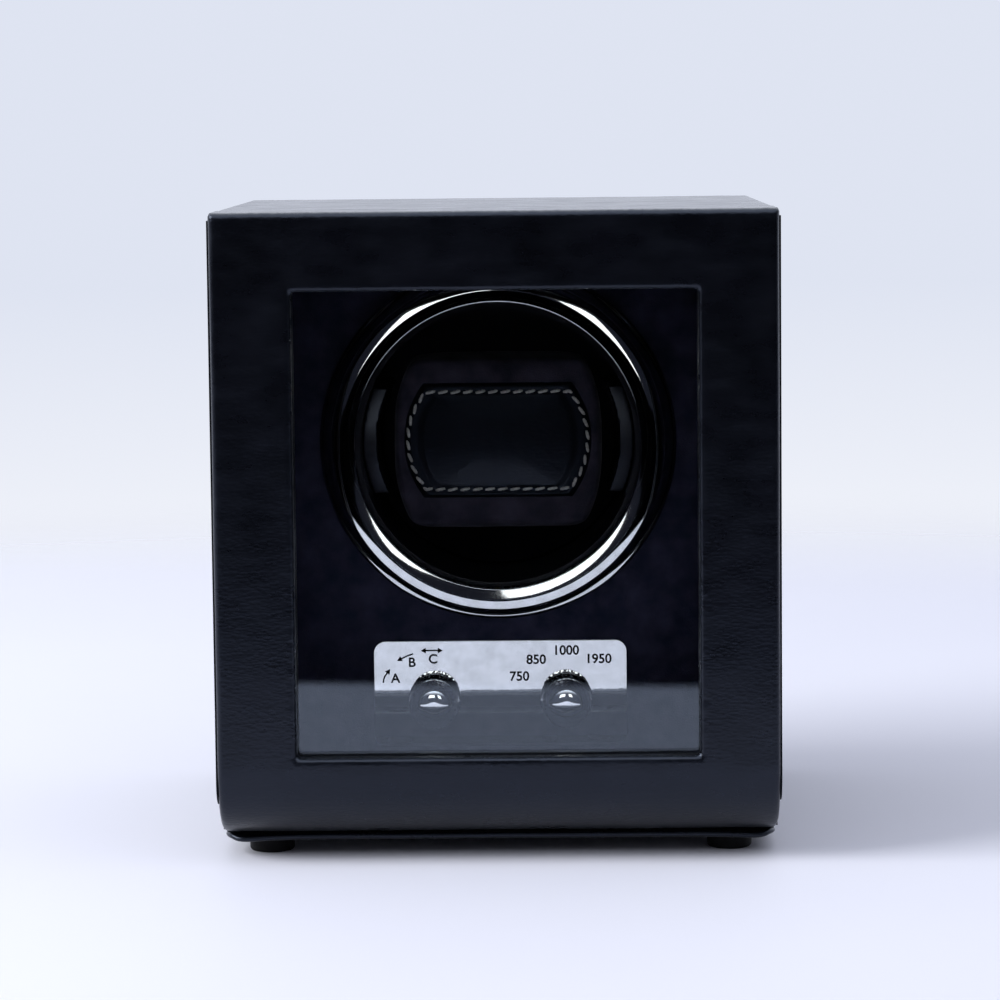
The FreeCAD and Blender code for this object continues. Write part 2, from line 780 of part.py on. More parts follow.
STANDOFFS = [(x, z) for x in (-58, 58) for z in (78, 178)]
BRACKET_FRONT = 39.0
BRACKET_THICK = 3.0
PCB_FRONT = -3.0
PCB_THICK = 1.6
PCB_HALF = 40.0
PCB_LOW = 28.0
PCB_HIGH = 62.0
PCB_POSTS = [(x, z) for x in (-36, 36) for z in (32, 58)]
KNOBS = {"direction": -knob_side, "turns": knob_side}


def make_fascia():
    """The dark panel behind the glass, the chrome ring round the drum and the control plate."""
    board = plate("fascia_board", (-inner_half, inner_half), (inner_floor, inner_roof),
                  (fascia_front, fascia_back),
                  [(0, drum_height, ring_inner)]
                  + [(x, knob_height, shaft_radius + 1) for x in KNOBS.values()])
    stud_holes = [rod(f"stud_hole_{index}", "Y", place, (fascia_back - 3.5, fascia_back), 2)
                  for index, place in enumerate(STANDOFFS)]
    post_holes = [rod(f"post_hole_{index}", "Y", place, (fascia_back - 3, fascia_back), 1.5)
                  for index, place in enumerate(PCB_POSTS)]
    keep(cut("fascia_cut", board, stud_holes + post_holes), "fascia")

    ring_tip = front + ring_front
    lip_back = ring_tip + ring_lip_thick
    ring = turned("ring_turn", [
        (ring_inner, fascia_front), (ring_flange, fascia_front), (ring_flange, fascia_front - 1),
        (ring_outer + 2.6, fascia_front - 2.4), (ring_outer + 0.8, fascia_front - 5.5),
        (ring_outer, fascia_front - 10), (ring_outer, ring_tip), (ring_lip, ring_tip),
        (ring_lip, lip_back), (ring_inner, lip_back)],
        0, drum_height)
    fillet(ring, ring_lip_thick - 0.1, lambda middle, edge: near(edge.BoundBox.YMin, ring_tip))
    keep(ring, "bezel_ring")

    chrome = plate("plate_board", (-plate_wide / 2, plate_wide / 2),
                   (plate_low, plate_low + plate_tall), (plate_front, fascia_front),
                   [(x, knob_height, shaft_radius + 0.5) for x in KNOBS.values()])
    fillet(chrome, plate_corner, lambda middle, edge: edge.BoundBox.YLength > 1
           and edge.BoundBox.XLength < 0.01)
    keep(chrome, "control_plate")


def make_knob(name, x):
    """A domed chrome knob pressed on a shaft, and the rotary switch that the shaft turns."""
    back = plate_front - 0.8
    tip = back - knob_tall
    bore_end = back - 9
    profile = [(shaft_radius, back), (knob_radius, back), (knob_radius, back - 1),
               (knob_radius - 0.5, back - 1.6), (knob_radius - 0.5, back - 3),
               (knob_radius - 0.1, back - 3.6), (knob_radius - 0.5, tip + 4.4),
               (knob_radius - 1.6, tip + 2.2), (knob_radius - 3.6, tip + 0.8),
               (knob_radius - 6, tip + 0.2), (0, tip), (0, bore_end), (shaft_radius, bore_end)]
    dome = turned(f"{name}_dome", profile, x, knob_height)
    notch = box(f"{name}_notch", (x - 0.4, x + 0.4), (tip - 1, tip + 2.4),
                (knob_height + 2, knob_height + knob_radius + 1))
    keep(cut(f"{name}_knob_cut", dome, [notch]), f"{name}_knob")
    keep(turned(f"{name}_shaft_turn", [
        (0, bore_end), (shaft_radius, bore_end), (shaft_radius, fascia_back - 1),
        (2, fascia_back - 1), (2, fascia_back + 8), (0, fascia_back + 8)], x, knob_height),
        f"{name}_shaft")
    block = box(f"{name}_block", (x - 8, x + 8), (fascia_back, PCB_FRONT),
                (knob_height - 8, knob_height + 8))
    bore = rod(f"{name}_bore", "Y", (x, knob_height), (fascia_back - 1, fascia_back + 8.5),
               2 + running_fit)
    keep(cut(f"{name}_switch_cut", block, [bore]), f"{name}_switch")


def make_board():
    """The circuit board behind the switches, what is soldered to it and what holds it."""
    back = PCB_FRONT + PCB_THICK
    keep(plate("pcb_board", (-PCB_HALF, PCB_HALF), (PCB_LOW, PCB_HIGH), (PCB_FRONT, back),
               [(x, z, 1.5) for x, z in PCB_POSTS]), "circuit_board")
    posts = [turned(f"pcb_post_{index}", [
        (0, fascia_back - 3), (1.5, fascia_back - 3), (1.5, fascia_back), (2.5, fascia_back),
        (2.5, PCB_FRONT), (1, PCB_FRONT), (1, PCB_FRONT - 5), (0, PCB_FRONT - 5)], *place)
        for index, place in enumerate(PCB_POSTS)]
    screws = [turned(f"pcb_screw_{index}", [
        (0, back + 1.6), (2.4, back + 1.6), (2.4, back), (1, back), (1, PCB_FRONT - 4),
        (0, PCB_FRONT - 4)], *place) for index, place in enumerate(PCB_POSTS)]
    keep(group("pcb_fixing_group", posts + screws), "circuit_board_fixings")
    chip = box("driver_chip", (-12, -2), (back, back + 1.6), (44, 50))
    timer = box("timer_chip", (4, 10), (back, back + 1.6), (45, 50))
    capacitor = rod("capacitor", "Y", (-22, 46), (back, back + 9), 4)
    crystal = box("crystal", (14, 24), (back, back + 3.5), (40, 44))
    sockets = [box(f"socket_{name}", (x - 4, x + 4), (back, back + 6), (z - 3, z + 3))
               for name, x, z in (("motor", *MOTOR_SOCKET), ("power", *POWER_SOCKET))]
    keep(group("pcb_part_group", [chip, timer, capacitor, crystal] + sockets), "circuit_board_parts")


# -------------------------------------------------------------------------------- drum drive

GEAR_FRONT = 30.0
BUSH_FRONT = 37.0
GEARBOX_LONG = 14.0
CAN_LONG = 18.0
MOTOR_SOCKET = (0.0, 56.0)
POWER_SOCKET = (26.0, 54.0)
drive_height = drum_height - module * (drum_teeth + pinion_teeth) / 2 - gear_slack


def make_drum():
    """The cup that turns, with the holder for the cuff screwed to its floor."""
    outer = drum_inner + drum_wall
    rim = front + drum_front
    cup = turned("cup_turn", [
        (0, cup_floor), (drum_inner, cup_floor), (drum_inner, rim), (outer, rim),
        (outer, cup_back), (0, cup_back)], 0, drum_height)
    keep(cut("cup_cut", cup, drum_screw_holes("cup", cup_floor - 1, cup_back + 1)), "drum_cup")
    keep(make_holder(), "cuff_holder")
    hub = turned("hub_turn", [
        (0, cup_back), (17, cup_back), (17, GEAR_FRONT), (axle_radius, GEAR_FRONT),
        (axle_radius, BRACKET_FRONT + 11), (0, BRACKET_FRONT + 11)], 0, drum_height)
    keep(cut("hub_cut", hub, drum_screw_holes("hub", cup_back - 1, GEAR_FRONT + 1)), "drum_hub")
    keep(turned("collar_turn", [
        (axle_radius, BRACKET_FRONT + 6.4), (10, BRACKET_FRONT + 6.4), (10, BRACKET_FRONT + 10),
        (axle_radius, BRACKET_FRONT + 10)], 0, drum_height), "axle_collar")
    gear_back = GEAR_FRONT + gear_face
    screws = [screw(f"drum_screw_{index}", x, z, gear_back, cup_floor - 2.5, 2.5, 1.6, 1.5)
              for index, (x, z) in enumerate(drum_screw_places())]
    keep(group("drum_screw_group", screws), "drum_screws")


def drum_screw_places():
    """Three screws on a circle round the drum's axis."""
    spots = []
    for angle in (90, 210, 330):
        arm = FreeCAD.Rotation(FreeCAD.Vector(0, 1, 0), -angle).multVec(
            FreeCAD.Vector(drum_screw_circle.number, 0, 0))
        spots.append((arm.x, drum_height + arm.z))
    return spots


def drum_screw_holes(name, start, end):
    return [rod(f"{name}_hole_{index}", "Y", place, (start, end), 1.5)
            for index, place in enumerate(drum_screw_places())]


def make_holder():
    """A round base with two curved arms, and a socket in the middle for the cuff's stem."""
    base_front = cup_floor - 3
    arm_outer = drum_inner - 0.2
    axis = (0, drum_height)
    disc = rod("holder_disc", "Y", axis, (base_front, cup_floor), arm_outer)
    tube_outer = rod("holder_tube_outer", "Y", axis, (front + arm_front, base_front), arm_outer)
    tube_inner = rod("holder_tube_inner", "Y", axis, (front + arm_front - 1, base_front), arm_inner)
    tube = cut("holder_tube", tube_outer, [tube_inner])
    band = box("holder_band", (-50, 50), (front + arm_front, base_front),
               (drum_height - arm_half_tall, drum_height + arm_half_tall))
    arms = common("holder_arms", tube, band)
    boss = box("holder_boss", (-stem_wide / 2 - 3, stem_wide / 2 + 3), (base_front - 7, base_front),
               (drum_height - stem_tall / 2 - 3, drum_height + stem_tall / 2 + 3))
    socket = box("holder_socket", (-stem_wide / 2 - stem_fit, stem_wide / 2 + stem_fit),
                 (base_front - 8, base_front),
                 (drum_height - stem_tall / 2 - stem_fit, drum_height + stem_tall / 2 + stem_fit))
    solid = fuse("holder_fuse", [disc, arms, boss])
    return cut("holder_cut", solid,
               [socket] + drum_screw_holes("holder", cup_floor - 2.5, cup_floor + 1))


def gear(label, teeth, bore, span, angle=0):
    """A spur gear about a line along Y: its outline is the involute that its module sets."""
    builder = fcgear.FCWireBuilder()
    involute.CreateExternalGear(builder, module.number, teeth, 20.0, True)
    disc = Part.Face(Part.Wire([piece.toShape() for piece in builder.wire]))
    face = disc.cut(Part.Face(Part.Wire(Part.makeCircle(bore))))
    item = doc.addObject("Part::Feature", label)
    low, high = (as_size(end).number for end in span)
    item.Shape = face.extrude(FreeCAD.Vector(0, 0, high - low))
    turn = FreeCAD.Rotation(FreeCAD.Vector(0, 1, 0), angle).multiply(TURNS["Y"])
    item.Placement = FreeCAD.Placement(FreeCAD.Vector(0, low, 0), turn)
    return item


def make_gears():
    """The large gear on the drum's hub, and the pinion on the motor's shaft below it."""
    span = (GEAR_FRONT, GEAR_FRONT + gear_face)
    wheel = gear("wheel", int(drum_teeth.number), axle_radius.number, span)
    bind(wheel, "Placement.Base.z", drum_height)
    keep(cut("wheel_cut", wheel, drum_screw_holes("wheel", span[0] - 1, span[1] + 1)), "drum_gear")
    half_tooth = 180 / pinion_teeth.number
    pinion = gear("pinion_teeth_shape", int(pinion_teeth.number), 2.0, span, half_tooth)
    bind(pinion, "Placement.Base.z", drive_height)
    keep(pinion, "motor_pinion")


def make_bracket():
    """The plate behind the drum: it carries the axle's bush and the motor, on four stand-offs."""
    back = BRACKET_FRONT + BRACKET_THICK
    motor_screws = [(x, drive_height) for x in (-8.5, 8.5)]
    holes = [(0, drum_height, 10), (0, drive_height, 4)]
    holes += [(x, z, 1.5) for x, z in STANDOFFS]
    holes += [(x, z, 1.25) for x, z in motor_screws]
    keep(plate("bracket_board", (-66, 66), (70, 186), (BRACKET_FRONT, back), holes), "motor_bracket")
    keep(turned("bush_turn", [
        (axle_radius + running_fit, BUSH_FRONT), (13, BUSH_FRONT), (13, BRACKET_FRONT),
        (10, BRACKET_FRONT), (10, back + 3), (axle_radius + running_fit, back + 3)],
        0, drum_height), "axle_bush")
    posts = [turned(f"standoff_{index}", [
        (0, fascia_back - 3.5), (2, fascia_back - 3.5), (2, fascia_back), (4, fascia_back),
        (4, BRACKET_FRONT), (1.5, BRACKET_FRONT), (1.5, BRACKET_FRONT - 8), (0, BRACKET_FRONT - 8)],
        *place) for index, place in enumerate(STANDOFFS)]
    keep(group("standoff_group", posts), "bracket_standoffs")
    screws = [screw(f"bracket_screw_{index}", x, z, back, BRACKET_FRONT - 7, 2.8, 1.8, 1.5)
              for index, (x, z) in enumerate(STANDOFFS)]
    fixings = [screw(f"motor_screw_{index}", x, z, BRACKET_FRONT, back + 4, 2.2, 1.4, 1.25)
               for index, (x, z) in enumerate(motor_screws)]
    keep(group("bracket_screw_group", screws + fixings), "bracket_screws")
    make_motor(back, motor_screws)


def make_motor(mount, fixings):
    """The gear motor: a gearbox with the slow output shaft, and the motor can behind it."""
    gearbox_back = mount + GEARBOX_LONG
    can_back = gearbox_back + CAN_LONG
    body = rod("gearbox_body", "Y", (0, drive_height), (mount, gearbox_back), motor_radius)
    bore = rod("gearbox_bore", "Y", (0, drive_height), (mount - 1, mount + 10), 2 + running_fit)
    taps = [rod(f"gearbox_tap_{index}", "Y", place, (mount - 1, mount + 4), 1.25)
            for index, place in enumerate(fixings)]
    keep(cut("gearbox_cut", body, [bore] + taps), "motor_gearbox")
    can = turned("can_turn", [
        (0, gearbox_back), (10, gearbox_back), (10, can_back - 1), (9, can_back), (3, can_back),
        (3, can_back + 1.5), (0, can_back + 1.5)], 0, drive_height)
    tags = [box(f"motor_tag_{side}", (x - 1, x + 1), (can_back, can_back + 3),
                (drive_height - 7, drive_height - 4)) for side, x in (("left", -3), ("right", 3))]
    keep(group("can_group", [can] + tags), "motor_can")
    keep(rod("output_shaft", "Y", (0, drive_height), (GEAR_FRONT - 1, mount + 9.5), 2), "motor_shaft")


# --------------------------------------------------------------------------------------- cuff

def make_cuff():
    """The padded cuff: a foam core in a suede cover, closed by an insert with a stem."""
    face = front + cuff_front
    back = face + cuff_deep
    half = cuff_wide / 2
    height = cuff_tall / 2
    neck = half - cuff_taper
    cover = new_body("cover_block", 0, drum_height)
    sketch = new_sketch(cover, "XZ_Plane", -face)
    flat = neck - cuff_corner
    shoulder = height - cuff_corner
    outline(sketch, [(-flat, -height), (flat, -height), (neck, -shoulder), (half, -cuff_level),
                     (half, cuff_level), (neck, shoulder), (flat, height), (-flat, height),
                     (-neck, shoulder), (-half, cuff_level), (-half, -cuff_level),
                     (-neck, -shoulder)])
    pad(cover, sketch, cuff_deep)
    fillet(cover, 3, lambda middle, edge: near(middle.y, face))
    core_x = (-cuff_core_wide / 2, cuff_core_wide / 2)
    core_z = (drum_height - height + cuff_skin + 2, drum_height + height - cuff_skin - 2)
    hollow = box("cover_hollow", core_x, (face + cuff_skin, back + 1), core_z)
    keep(cut("cover_cut_hollow", cover, [hollow]), "pillow_cover")
    keep(box("foam_block", core_x, (face + cuff_skin, back - 3), core_z), "pillow_foam")
    board = box("insert_board", core_x, (back - 3, back), core_z)
    stem = box("insert_stem", (-stem_wide / 2, stem_wide / 2), (back, cup_floor - 3.5),
               (drum_height - stem_tall / 2, drum_height + stem_tall / 2))
    keep(fuse("insert_fuse", [board, stem]), "pillow_insert")
    patch = new_body("patch_block", 0, drum_height + patch_rise)
    outline_sketch = new_sketch(patch, "XZ_Plane", -(face - patch_thick))
    side = patch_wide / 2
    top = patch_tall / 2
    inner_x = side - patch_bevel
    inner_z = top - patch_bevel
    outline(outline_sketch, [(-inner_x, -top), (inner_x, -top), (side, -inner_z), (side, inner_z),
                             (inner_x, top), (-inner_x, top), (-side, inner_z), (-side, -inner_z)])
    pad(patch, outline_sketch, patch_thick)
    keep(patch, "pillow_patch")


# -------------------------------------------------------------------------------------- cables

def cable(label, route, radius):
    """A round cable along straight runs joined by arcs, as large as the two runs allow."""
    points = [FreeCAD.Vector(*(as_size(value).number for value in point)) for point in route]
    edges = []
    start = points[0]
    for before, here, after in zip(points, points[1:], points[2:]):
        back_way = (before - here).normalize()
        onward = (after - here).normalize()
        reach = 0.45 * min(before.distanceToPoint(here), here.distanceToPoint(after))
        into = here + back_way * reach
        out = here + onward * reach
        half_turn = back_way.getAngle(onward) / 2
        bisector = (back_way + onward).normalize()
        bend = reach * math.tan(half_turn)
        centre_way = (bend ** 2 + reach ** 2) ** 0.5
        middle = here + bisector * (centre_way - bend)
        edges.append(Part.LineSegment(start, into).toShape())
        edges.append(Part.Arc(into, middle, out).toShape())
        start = out
    edges.append(Part.LineSegment(start, points[-1]).toShape())
    path = Part.Wire(edges)
    section = Part.Wire(Part.makeCircle(radius, points[0], points[1] - points[0]))
    item = doc.addObject("Part::Feature", label)
    item.Shape = path.makePipeShell([section], True, False)
    expected = math.pi * radius ** 2 * path.Length
    if abs(item.Shape.Volume - expected) > 0.02 * expected:
        raise RuntimeError(f"{label} has the wrong volume")
    return item


def make_cables():
    """The two cables inside the case: board to motor, and power inlet to board."""
    socket_back = PCB_FRONT + PCB_THICK + 6
    tag_y = BRACKET_FRONT + BRACKET_THICK + GEARBOX_LONG + CAN_LONG + 1.5
    x, z = MOTOR_SOCKET
    keep(cable("motor_wire", [
        (x, socket_back, z), (x, socket_back + 16, z), (x - 1.5, socket_back + 43, z - 6),
        (x - 3, tag_y, z - 1), (x - 3, tag_y, drive_height - 7)], 0.9), "motor_cable")
    x, z = POWER_SOCKET
    keep(cable("power_wire", [
        (x, socket_back, z), (x, socket_back + 14, z), (x + 9, socket_back + 32, z - 9),
        (JACK_X, rear - 28, JACK_Z), (JACK_X, rear - 12.5, JACK_Z)], 1.2), "power_cable")


def check_and_write():
    """Stop if anything failed to build, then write one STEP file for each node."""
    doc.recompute()
    for item in doc.Objects:
        if "Invalid" in item.State or "Error" in item.State:
            raise RuntimeError(f"{item.Label} is {item.State}")
    for item in nodes:
        if item.Shape.isNull() or not item.Shape.isValid() or not item.Shape.Solids:
            raise RuntimeError(f"{item.Label} has no valid solid")
    os.makedirs("parts", exist_ok=True)
    for item in nodes:
        item.Shape.exportStep(f"parts/{item.Label}.step")
    print(len(nodes), "nodes written")


def main():
    make_case()
    make_base()
    make_linings()
    make_catches()
    make_back()
    make_door()
    make_hinges()
    make_fascia()
    for name, x in KNOBS.items():
        make_knob(name, x)
    make_board()
    make_drum()
    make_gears()
    make_bracket()
    make_cuff()
    make_cables()
    check_and_write()


main()
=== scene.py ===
import json
import math
import random

import bmesh
import bpy
from mathutils import Matrix, Vector, noise

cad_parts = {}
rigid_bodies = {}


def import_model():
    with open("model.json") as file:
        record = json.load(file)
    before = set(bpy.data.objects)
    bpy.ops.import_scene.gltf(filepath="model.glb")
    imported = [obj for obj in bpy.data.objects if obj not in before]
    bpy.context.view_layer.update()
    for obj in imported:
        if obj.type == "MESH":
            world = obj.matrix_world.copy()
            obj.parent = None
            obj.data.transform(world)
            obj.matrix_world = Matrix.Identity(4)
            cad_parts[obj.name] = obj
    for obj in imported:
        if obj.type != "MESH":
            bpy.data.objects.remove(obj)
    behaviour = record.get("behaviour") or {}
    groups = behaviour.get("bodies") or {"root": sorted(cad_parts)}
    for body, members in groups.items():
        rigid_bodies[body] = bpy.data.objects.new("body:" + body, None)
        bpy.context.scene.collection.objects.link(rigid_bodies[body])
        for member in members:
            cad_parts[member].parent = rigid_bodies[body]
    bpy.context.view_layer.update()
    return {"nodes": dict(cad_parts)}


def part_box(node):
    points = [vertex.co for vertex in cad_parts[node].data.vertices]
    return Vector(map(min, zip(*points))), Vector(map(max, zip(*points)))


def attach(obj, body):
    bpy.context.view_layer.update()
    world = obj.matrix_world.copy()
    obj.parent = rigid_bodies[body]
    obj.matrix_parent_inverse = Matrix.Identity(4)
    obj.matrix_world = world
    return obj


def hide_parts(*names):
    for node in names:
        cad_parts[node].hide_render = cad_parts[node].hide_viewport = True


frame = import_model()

# The looks of a leather-covered watch winder with a glass door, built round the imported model.
# Metres throughout: X to the right, Y to the back, Z up. The door's front faces -Y.

MM = 0.001
chance = random.Random(11)

# ------------------------------------------------------------------------ places from the frame

door_low, door_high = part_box("door_frame")
glass_low, glass_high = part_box("door_glass")
case_low, case_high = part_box("case_leather")
ring_low, ring_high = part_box("bezel_ring")
plate_low, plate_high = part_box("control_plate")
cuff_low, cuff_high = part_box("pillow_cover")
patch_low, patch_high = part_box("pillow_patch")
base_low, base_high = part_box("base_board")
drum_centre = (ring_low + ring_high) / 2

# The glass sits in a rebate behind the window's edge.
REBATE = 4 * MM
WINDOW = {
    "left": glass_low.x + REBATE, "right": glass_high.x - REBATE,
    "low": glass_low.z + REBATE, "high": glass_high.z - REBATE,
}


# ----------------------------------------------------------------------------------- materials

def finish(name, colour, roughness, metallic=0.0, **more):
    """A Principled material. More inputs are given by name, with _ for a space."""
    material = bpy.data.materials.new(name)
    material.use_nodes = True
    shader = material.node_tree.nodes["Principled BSDF"]
    shader.inputs["Base Color"].default_value = (*colour, 1)
    shader.inputs["Roughness"].default_value = roughness
    shader.inputs["Metallic"].default_value = metallic
    for key, value in more.items():
        shader.inputs[key.replace("_", " ")].default_value = value
    return material


def add(material, kind, settings=None, **inputs):
    """Add a node. A socket given as an input is linked, and any other value is set."""
    tree = material.node_tree
    made = tree.nodes.new("ShaderNode" + kind)
    for key, value in (settings or {}).items():
        setattr(made, key, value)
    for key, value in inputs.items():
        socket = made.inputs[key.replace("_", " ")]
        if isinstance(value, bpy.types.NodeSocket):
            tree.links.new(value, socket)
        else:
            socket.default_value = value
    return made


def shader_of(material):
    return material.node_tree.nodes["Principled BSDF"]


def ramp(material, value, low, high, out_low=0.0, out_high=1.0, kind="LINEAR"):
    """Carry a value from one range to another, held at both ends."""
    made = add(material, "MapRange", {"interpolation_type": kind}, Value=value, From_Min=low,
               From_Max=high, To_Min=out_low, To_Max=out_high)
    return made.outputs["Result"]


def blend(material, share, first, second):
    """A mix of two colours."""
    return add(material, "MixRGB", Fac=share, Color1=first, Color2=second).outputs["Color"]


def mix_shaders(material, share, first, second):
    """Show a mix of two shaders as the material's surface."""
    tree = material.node_tree
    mix = add(material, "MixShader", Fac=share)
    tree.links.new(first, mix.inputs[1])
    tree.links.new(second, mix.inputs[2])
    tree.links.new(mix.outputs["Shader"], tree.nodes["Material Output"].inputs["Surface"])


def grain(material, per_metre, detail=3.0, stretch=(1, 1, 1), kind="TexNoise"):
    """A pattern in the piece's own coordinates, so many cells to the metre."""
    place = add(material, "TexCoord").outputs["Object"]
    turned_to = add(material, "Mapping", Vector=place, Scale=stretch)
    pattern = add(material, kind, Vector=turned_to.outputs["Vector"], Scale=per_metre)
    if kind == "TexNoise":
        pattern.inputs["Detail"].default_value = detail
        return pattern.outputs["Fac"]
    return pattern.outputs["Distance"]


def vary_colour(material, pattern, dark, light, low=0.35, high=0.65):
    """The base colour runs between two colours with a pattern."""
    ramp = add(material, "ValToRGB", Fac=pattern)
    ramp.color_ramp.elements[0].position = low
    ramp.color_ramp.elements[0].color = (*dark, 1)
    ramp.color_ramp.elements[1].position = high
    ramp.color_ramp.elements[1].color = (*light, 1)
    material.node_tree.links.new(ramp.outputs["Color"], shader_of(material).inputs["Base Color"])


def vary_roughness(material, pattern, smooth, dull):
    material.node_tree.links.new(ramp(material, pattern, 0.3, 0.7, smooth, dull),
                                 shader_of(material).inputs["Roughness"])


def relief(material, *layers):
    """Bumps on the surface: each layer is a pattern and its depth in metres."""
    normal = None
    for pattern, depth in layers:
        bump = add(material, "Bump", Height=pattern, Distance=depth)
        if normal is not None:
            material.node_tree.links.new(normal, bump.inputs["Normal"])
        normal = bump.outputs["Normal"]
    material.node_tree.links.new(normal, shader_of(material).inputs["Normal"])


def leather(name, colour, roughness, streak=(0.45, 1, 1), specular=0.36, coat=0.12):
    """Coated leather: fine pebbles drawn out one way, small creases and slight cloudiness."""
    material = finish(name, colour, roughness, Specular_IOR_Level=specular,
                      Specular_Tint=(0.60, 0.72, 1.0, 1), Coat_Weight=coat, Coat_Roughness=0.16,
                      Sheen_Weight=0.05, Sheen_Roughness=0.35, Sheen_Tint=(0.85, 0.92, 1.0, 1))
    light = tuple(channel * 2.2 for channel in colour)
    vary_colour(material, grain(material, 45, 4), colour, light)
    vary_roughness(material, grain(material, 160, 5, streak), roughness - 0.06, roughness + 0.08)
    relief(material,
           (grain(material, 30, 2), 0.07 * MM),
           (grain(material, 420, 4, streak), 0.05 * MM),
           (grain(material, 1100, 2, streak, "TexVoronoi"), 0.045 * MM))
    return material


def suede(name, dark, light, nap):
    """Brushed pile: cloudy in colour, dull, and lighter at a grazing angle."""
    material = finish(name, dark, 0.95, Sheen_Weight=nap, Sheen_Roughness=0.4,
                      Specular_IOR_Level=0.15)
    vary_colour(material, grain(material, 130, 6), dark, light, 0.3, 0.7)
    relief(material, (grain(material, 2600, 2), 0.12 * MM), (grain(material, 300, 3), 0.15 * MM))
    return material


def plastic(name, colour, roughness, texture_depth, specular=0.5):
    """Moulded plastic, or rubber, with a fine even texture."""
    material = finish(name, colour, roughness, Specular_IOR_Level=specular)
    light = tuple(min(channel * 1.25, 1) for channel in colour)
    vary_colour(material, grain(material, 90, 3), colour, light)
    vary_roughness(material, grain(material, 500, 3), roughness * 0.92, roughness * 1.1)
    relief(material, (grain(material, 1600, 2), texture_depth))
    return material


def holder_plastic(front, back):
    """Moulded plastic that is polished in front of one plane and matt behind another."""
    material = plastic("holder_plastic", (0.016, 0.016, 0.021), 0.24, 0.004 * MM)
    shader_of(material).inputs["Specular Tint"].default_value = (0.72, 0.80, 1, 1)
    place = add(material, "SeparateXYZ", Vector=add(material, "TexCoord").outputs["Object"])
    material.node_tree.links.new(ramp(material, place.outputs["Y"], front, back, 0.5, 0.02),
                                 shader_of(material).inputs["Specular IOR Level"])
    return material


def metal(name, colour, roughness, streak, depth):
    """Metal with fine tool marks drawn out along one direction."""
    material = finish(name, colour, roughness, 1.0)
    marks = grain(material, 900, 3, streak)
    vary_colour(material, grain(material, 220, 3), tuple(c * 0.88 for c in colour), colour)
    vary_roughness(material, marks, roughness * 0.8, roughness * 1.3)
    relief(material, (marks, depth))
    return material


def pane(name):
    """Float glass: a pane that shows what is behind it, with the mirror of its two faces."""
    material = bpy.data.materials.new(name)
    material.use_nodes = True
    material.node_tree.nodes.remove(shader_of(material))
    through = add(material, "BsdfTransparent", Color=(0.975, 0.985, 0.985, 1))
    smears = ramp(material, grain(material, 18, 4), 0, 1, 0, 0.02)
    mirror = add(material, "BsdfGlossy", Color=(0.74, 0.85, 1, 1), Roughness=smears)
    edge = add(material, "Fresnel", IOR=1.6)
    mix_shaders(material, edge.outputs["Fac"], through.outputs["BSDF"], mirror.outputs["BSDF"])
    return material


def make_materials():
    """One material for each of the record's slots."""
    return {
        "black_leather": leather("black_leather", (0.0011, 0.0012, 0.0020), 0.30),
        "leather_strip": leather("leather_strip", (0.0014, 0.0015, 0.0022), 0.45, (1, 0.6, 0.3),
                                 specular=0.12, coat=0.0),
        "board": plastic("board", (0.013, 0.012, 0.012), 0.75, 0.2 * MM),
        "black_suede": suede("black_suede", (0.023, 0.022, 0.033), (0.057, 0.051, 0.074), 0.10),
        "patch_leather": leather("patch_leather", (0.0016, 0.0017, 0.0023), 0.38),
        "velvet": suede("velvet", (0.023, 0.028, 0.056), (0.062, 0.060, 0.104), 0.05),
        "chrome": metal("chrome", (0.86, 0.87, 0.89), 0.035, (1, 1, 1), 0.002 * MM),
        "clear_glass": pane("clear_glass"),
        "rubber": plastic("rubber", (0.0025, 0.0025, 0.003), 0.6, 0.08 * MM, specular=0.15),
        "steel": metal("steel", (0.58, 0.58, 0.60), 0.28, (1, 1, 0.2), 0.01 * MM),
        "brass": metal("brass", (0.72, 0.53, 0.24), 0.25, (1, 0.2, 1), 0.01 * MM),
        "black_plastic": plastic("black_plastic", (0.014, 0.014, 0.016), 0.45, 0.06 * MM),
        "gloss_plastic": plastic("gloss_plastic", (0.016, 0.016, 0.021), 0.24, 0.004 * MM),
        "white_plastic": plastic("white_plastic", (0.72, 0.71, 0.66), 0.5, 0.02 * MM),
        "green_board": plastic("green_board", (0.012, 0.10, 0.04), 0.3, 0.03 * MM),
        "chip_black": plastic("chip_black", (0.018, 0.018, 0.018), 0.5, 0.03 * MM),
        "foam": suede("foam", (0.20, 0.20, 0.22), (0.32, 0.32, 0.34), 0.05),
        "cable_black": plastic("cable_black", (0.012, 0.012, 0.012), 0.4, 0.02 * MM),
    }


finishes = make_materials()
ink = plastic("printed_ink", (0.002, 0.002, 0.0025), 0.7, 0.01 * MM, specular=0.1)
thread = finish("waxed_thread", (0.62, 0.60, 0.55), 0.55, Sheen_Weight=0.2)
vary_colour(thread, grain(thread, 900, 2), (0.45, 0.43, 0.39), (0.74, 0.72, 0.67))
relief(thread, (grain(thread, 2500, 2, (1, 1, 0.4)), 0.08 * MM))


def dress_nodes():
    """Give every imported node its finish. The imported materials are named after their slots."""
    for item in frame["nodes"].values():
        for place in item.material_slots:
            slot_name = place.material.name.split(".")[0]
            place.material = finishes.get(slot_name, finishes["black_plastic"])


# --------------------------------------------------------------------------------- mesh helpers

def piece(name, points, faces, slot, body, material=None, replaced=()):
    """A new mesh piece that rides on a body and takes its finish from a slot."""
    data = bpy.data.meshes.new(name)
    data.from_pydata([tuple(point) for point in points], [], faces)
    return adopt(bpy.data.objects.new(name, data), slot, body, material, replaced)


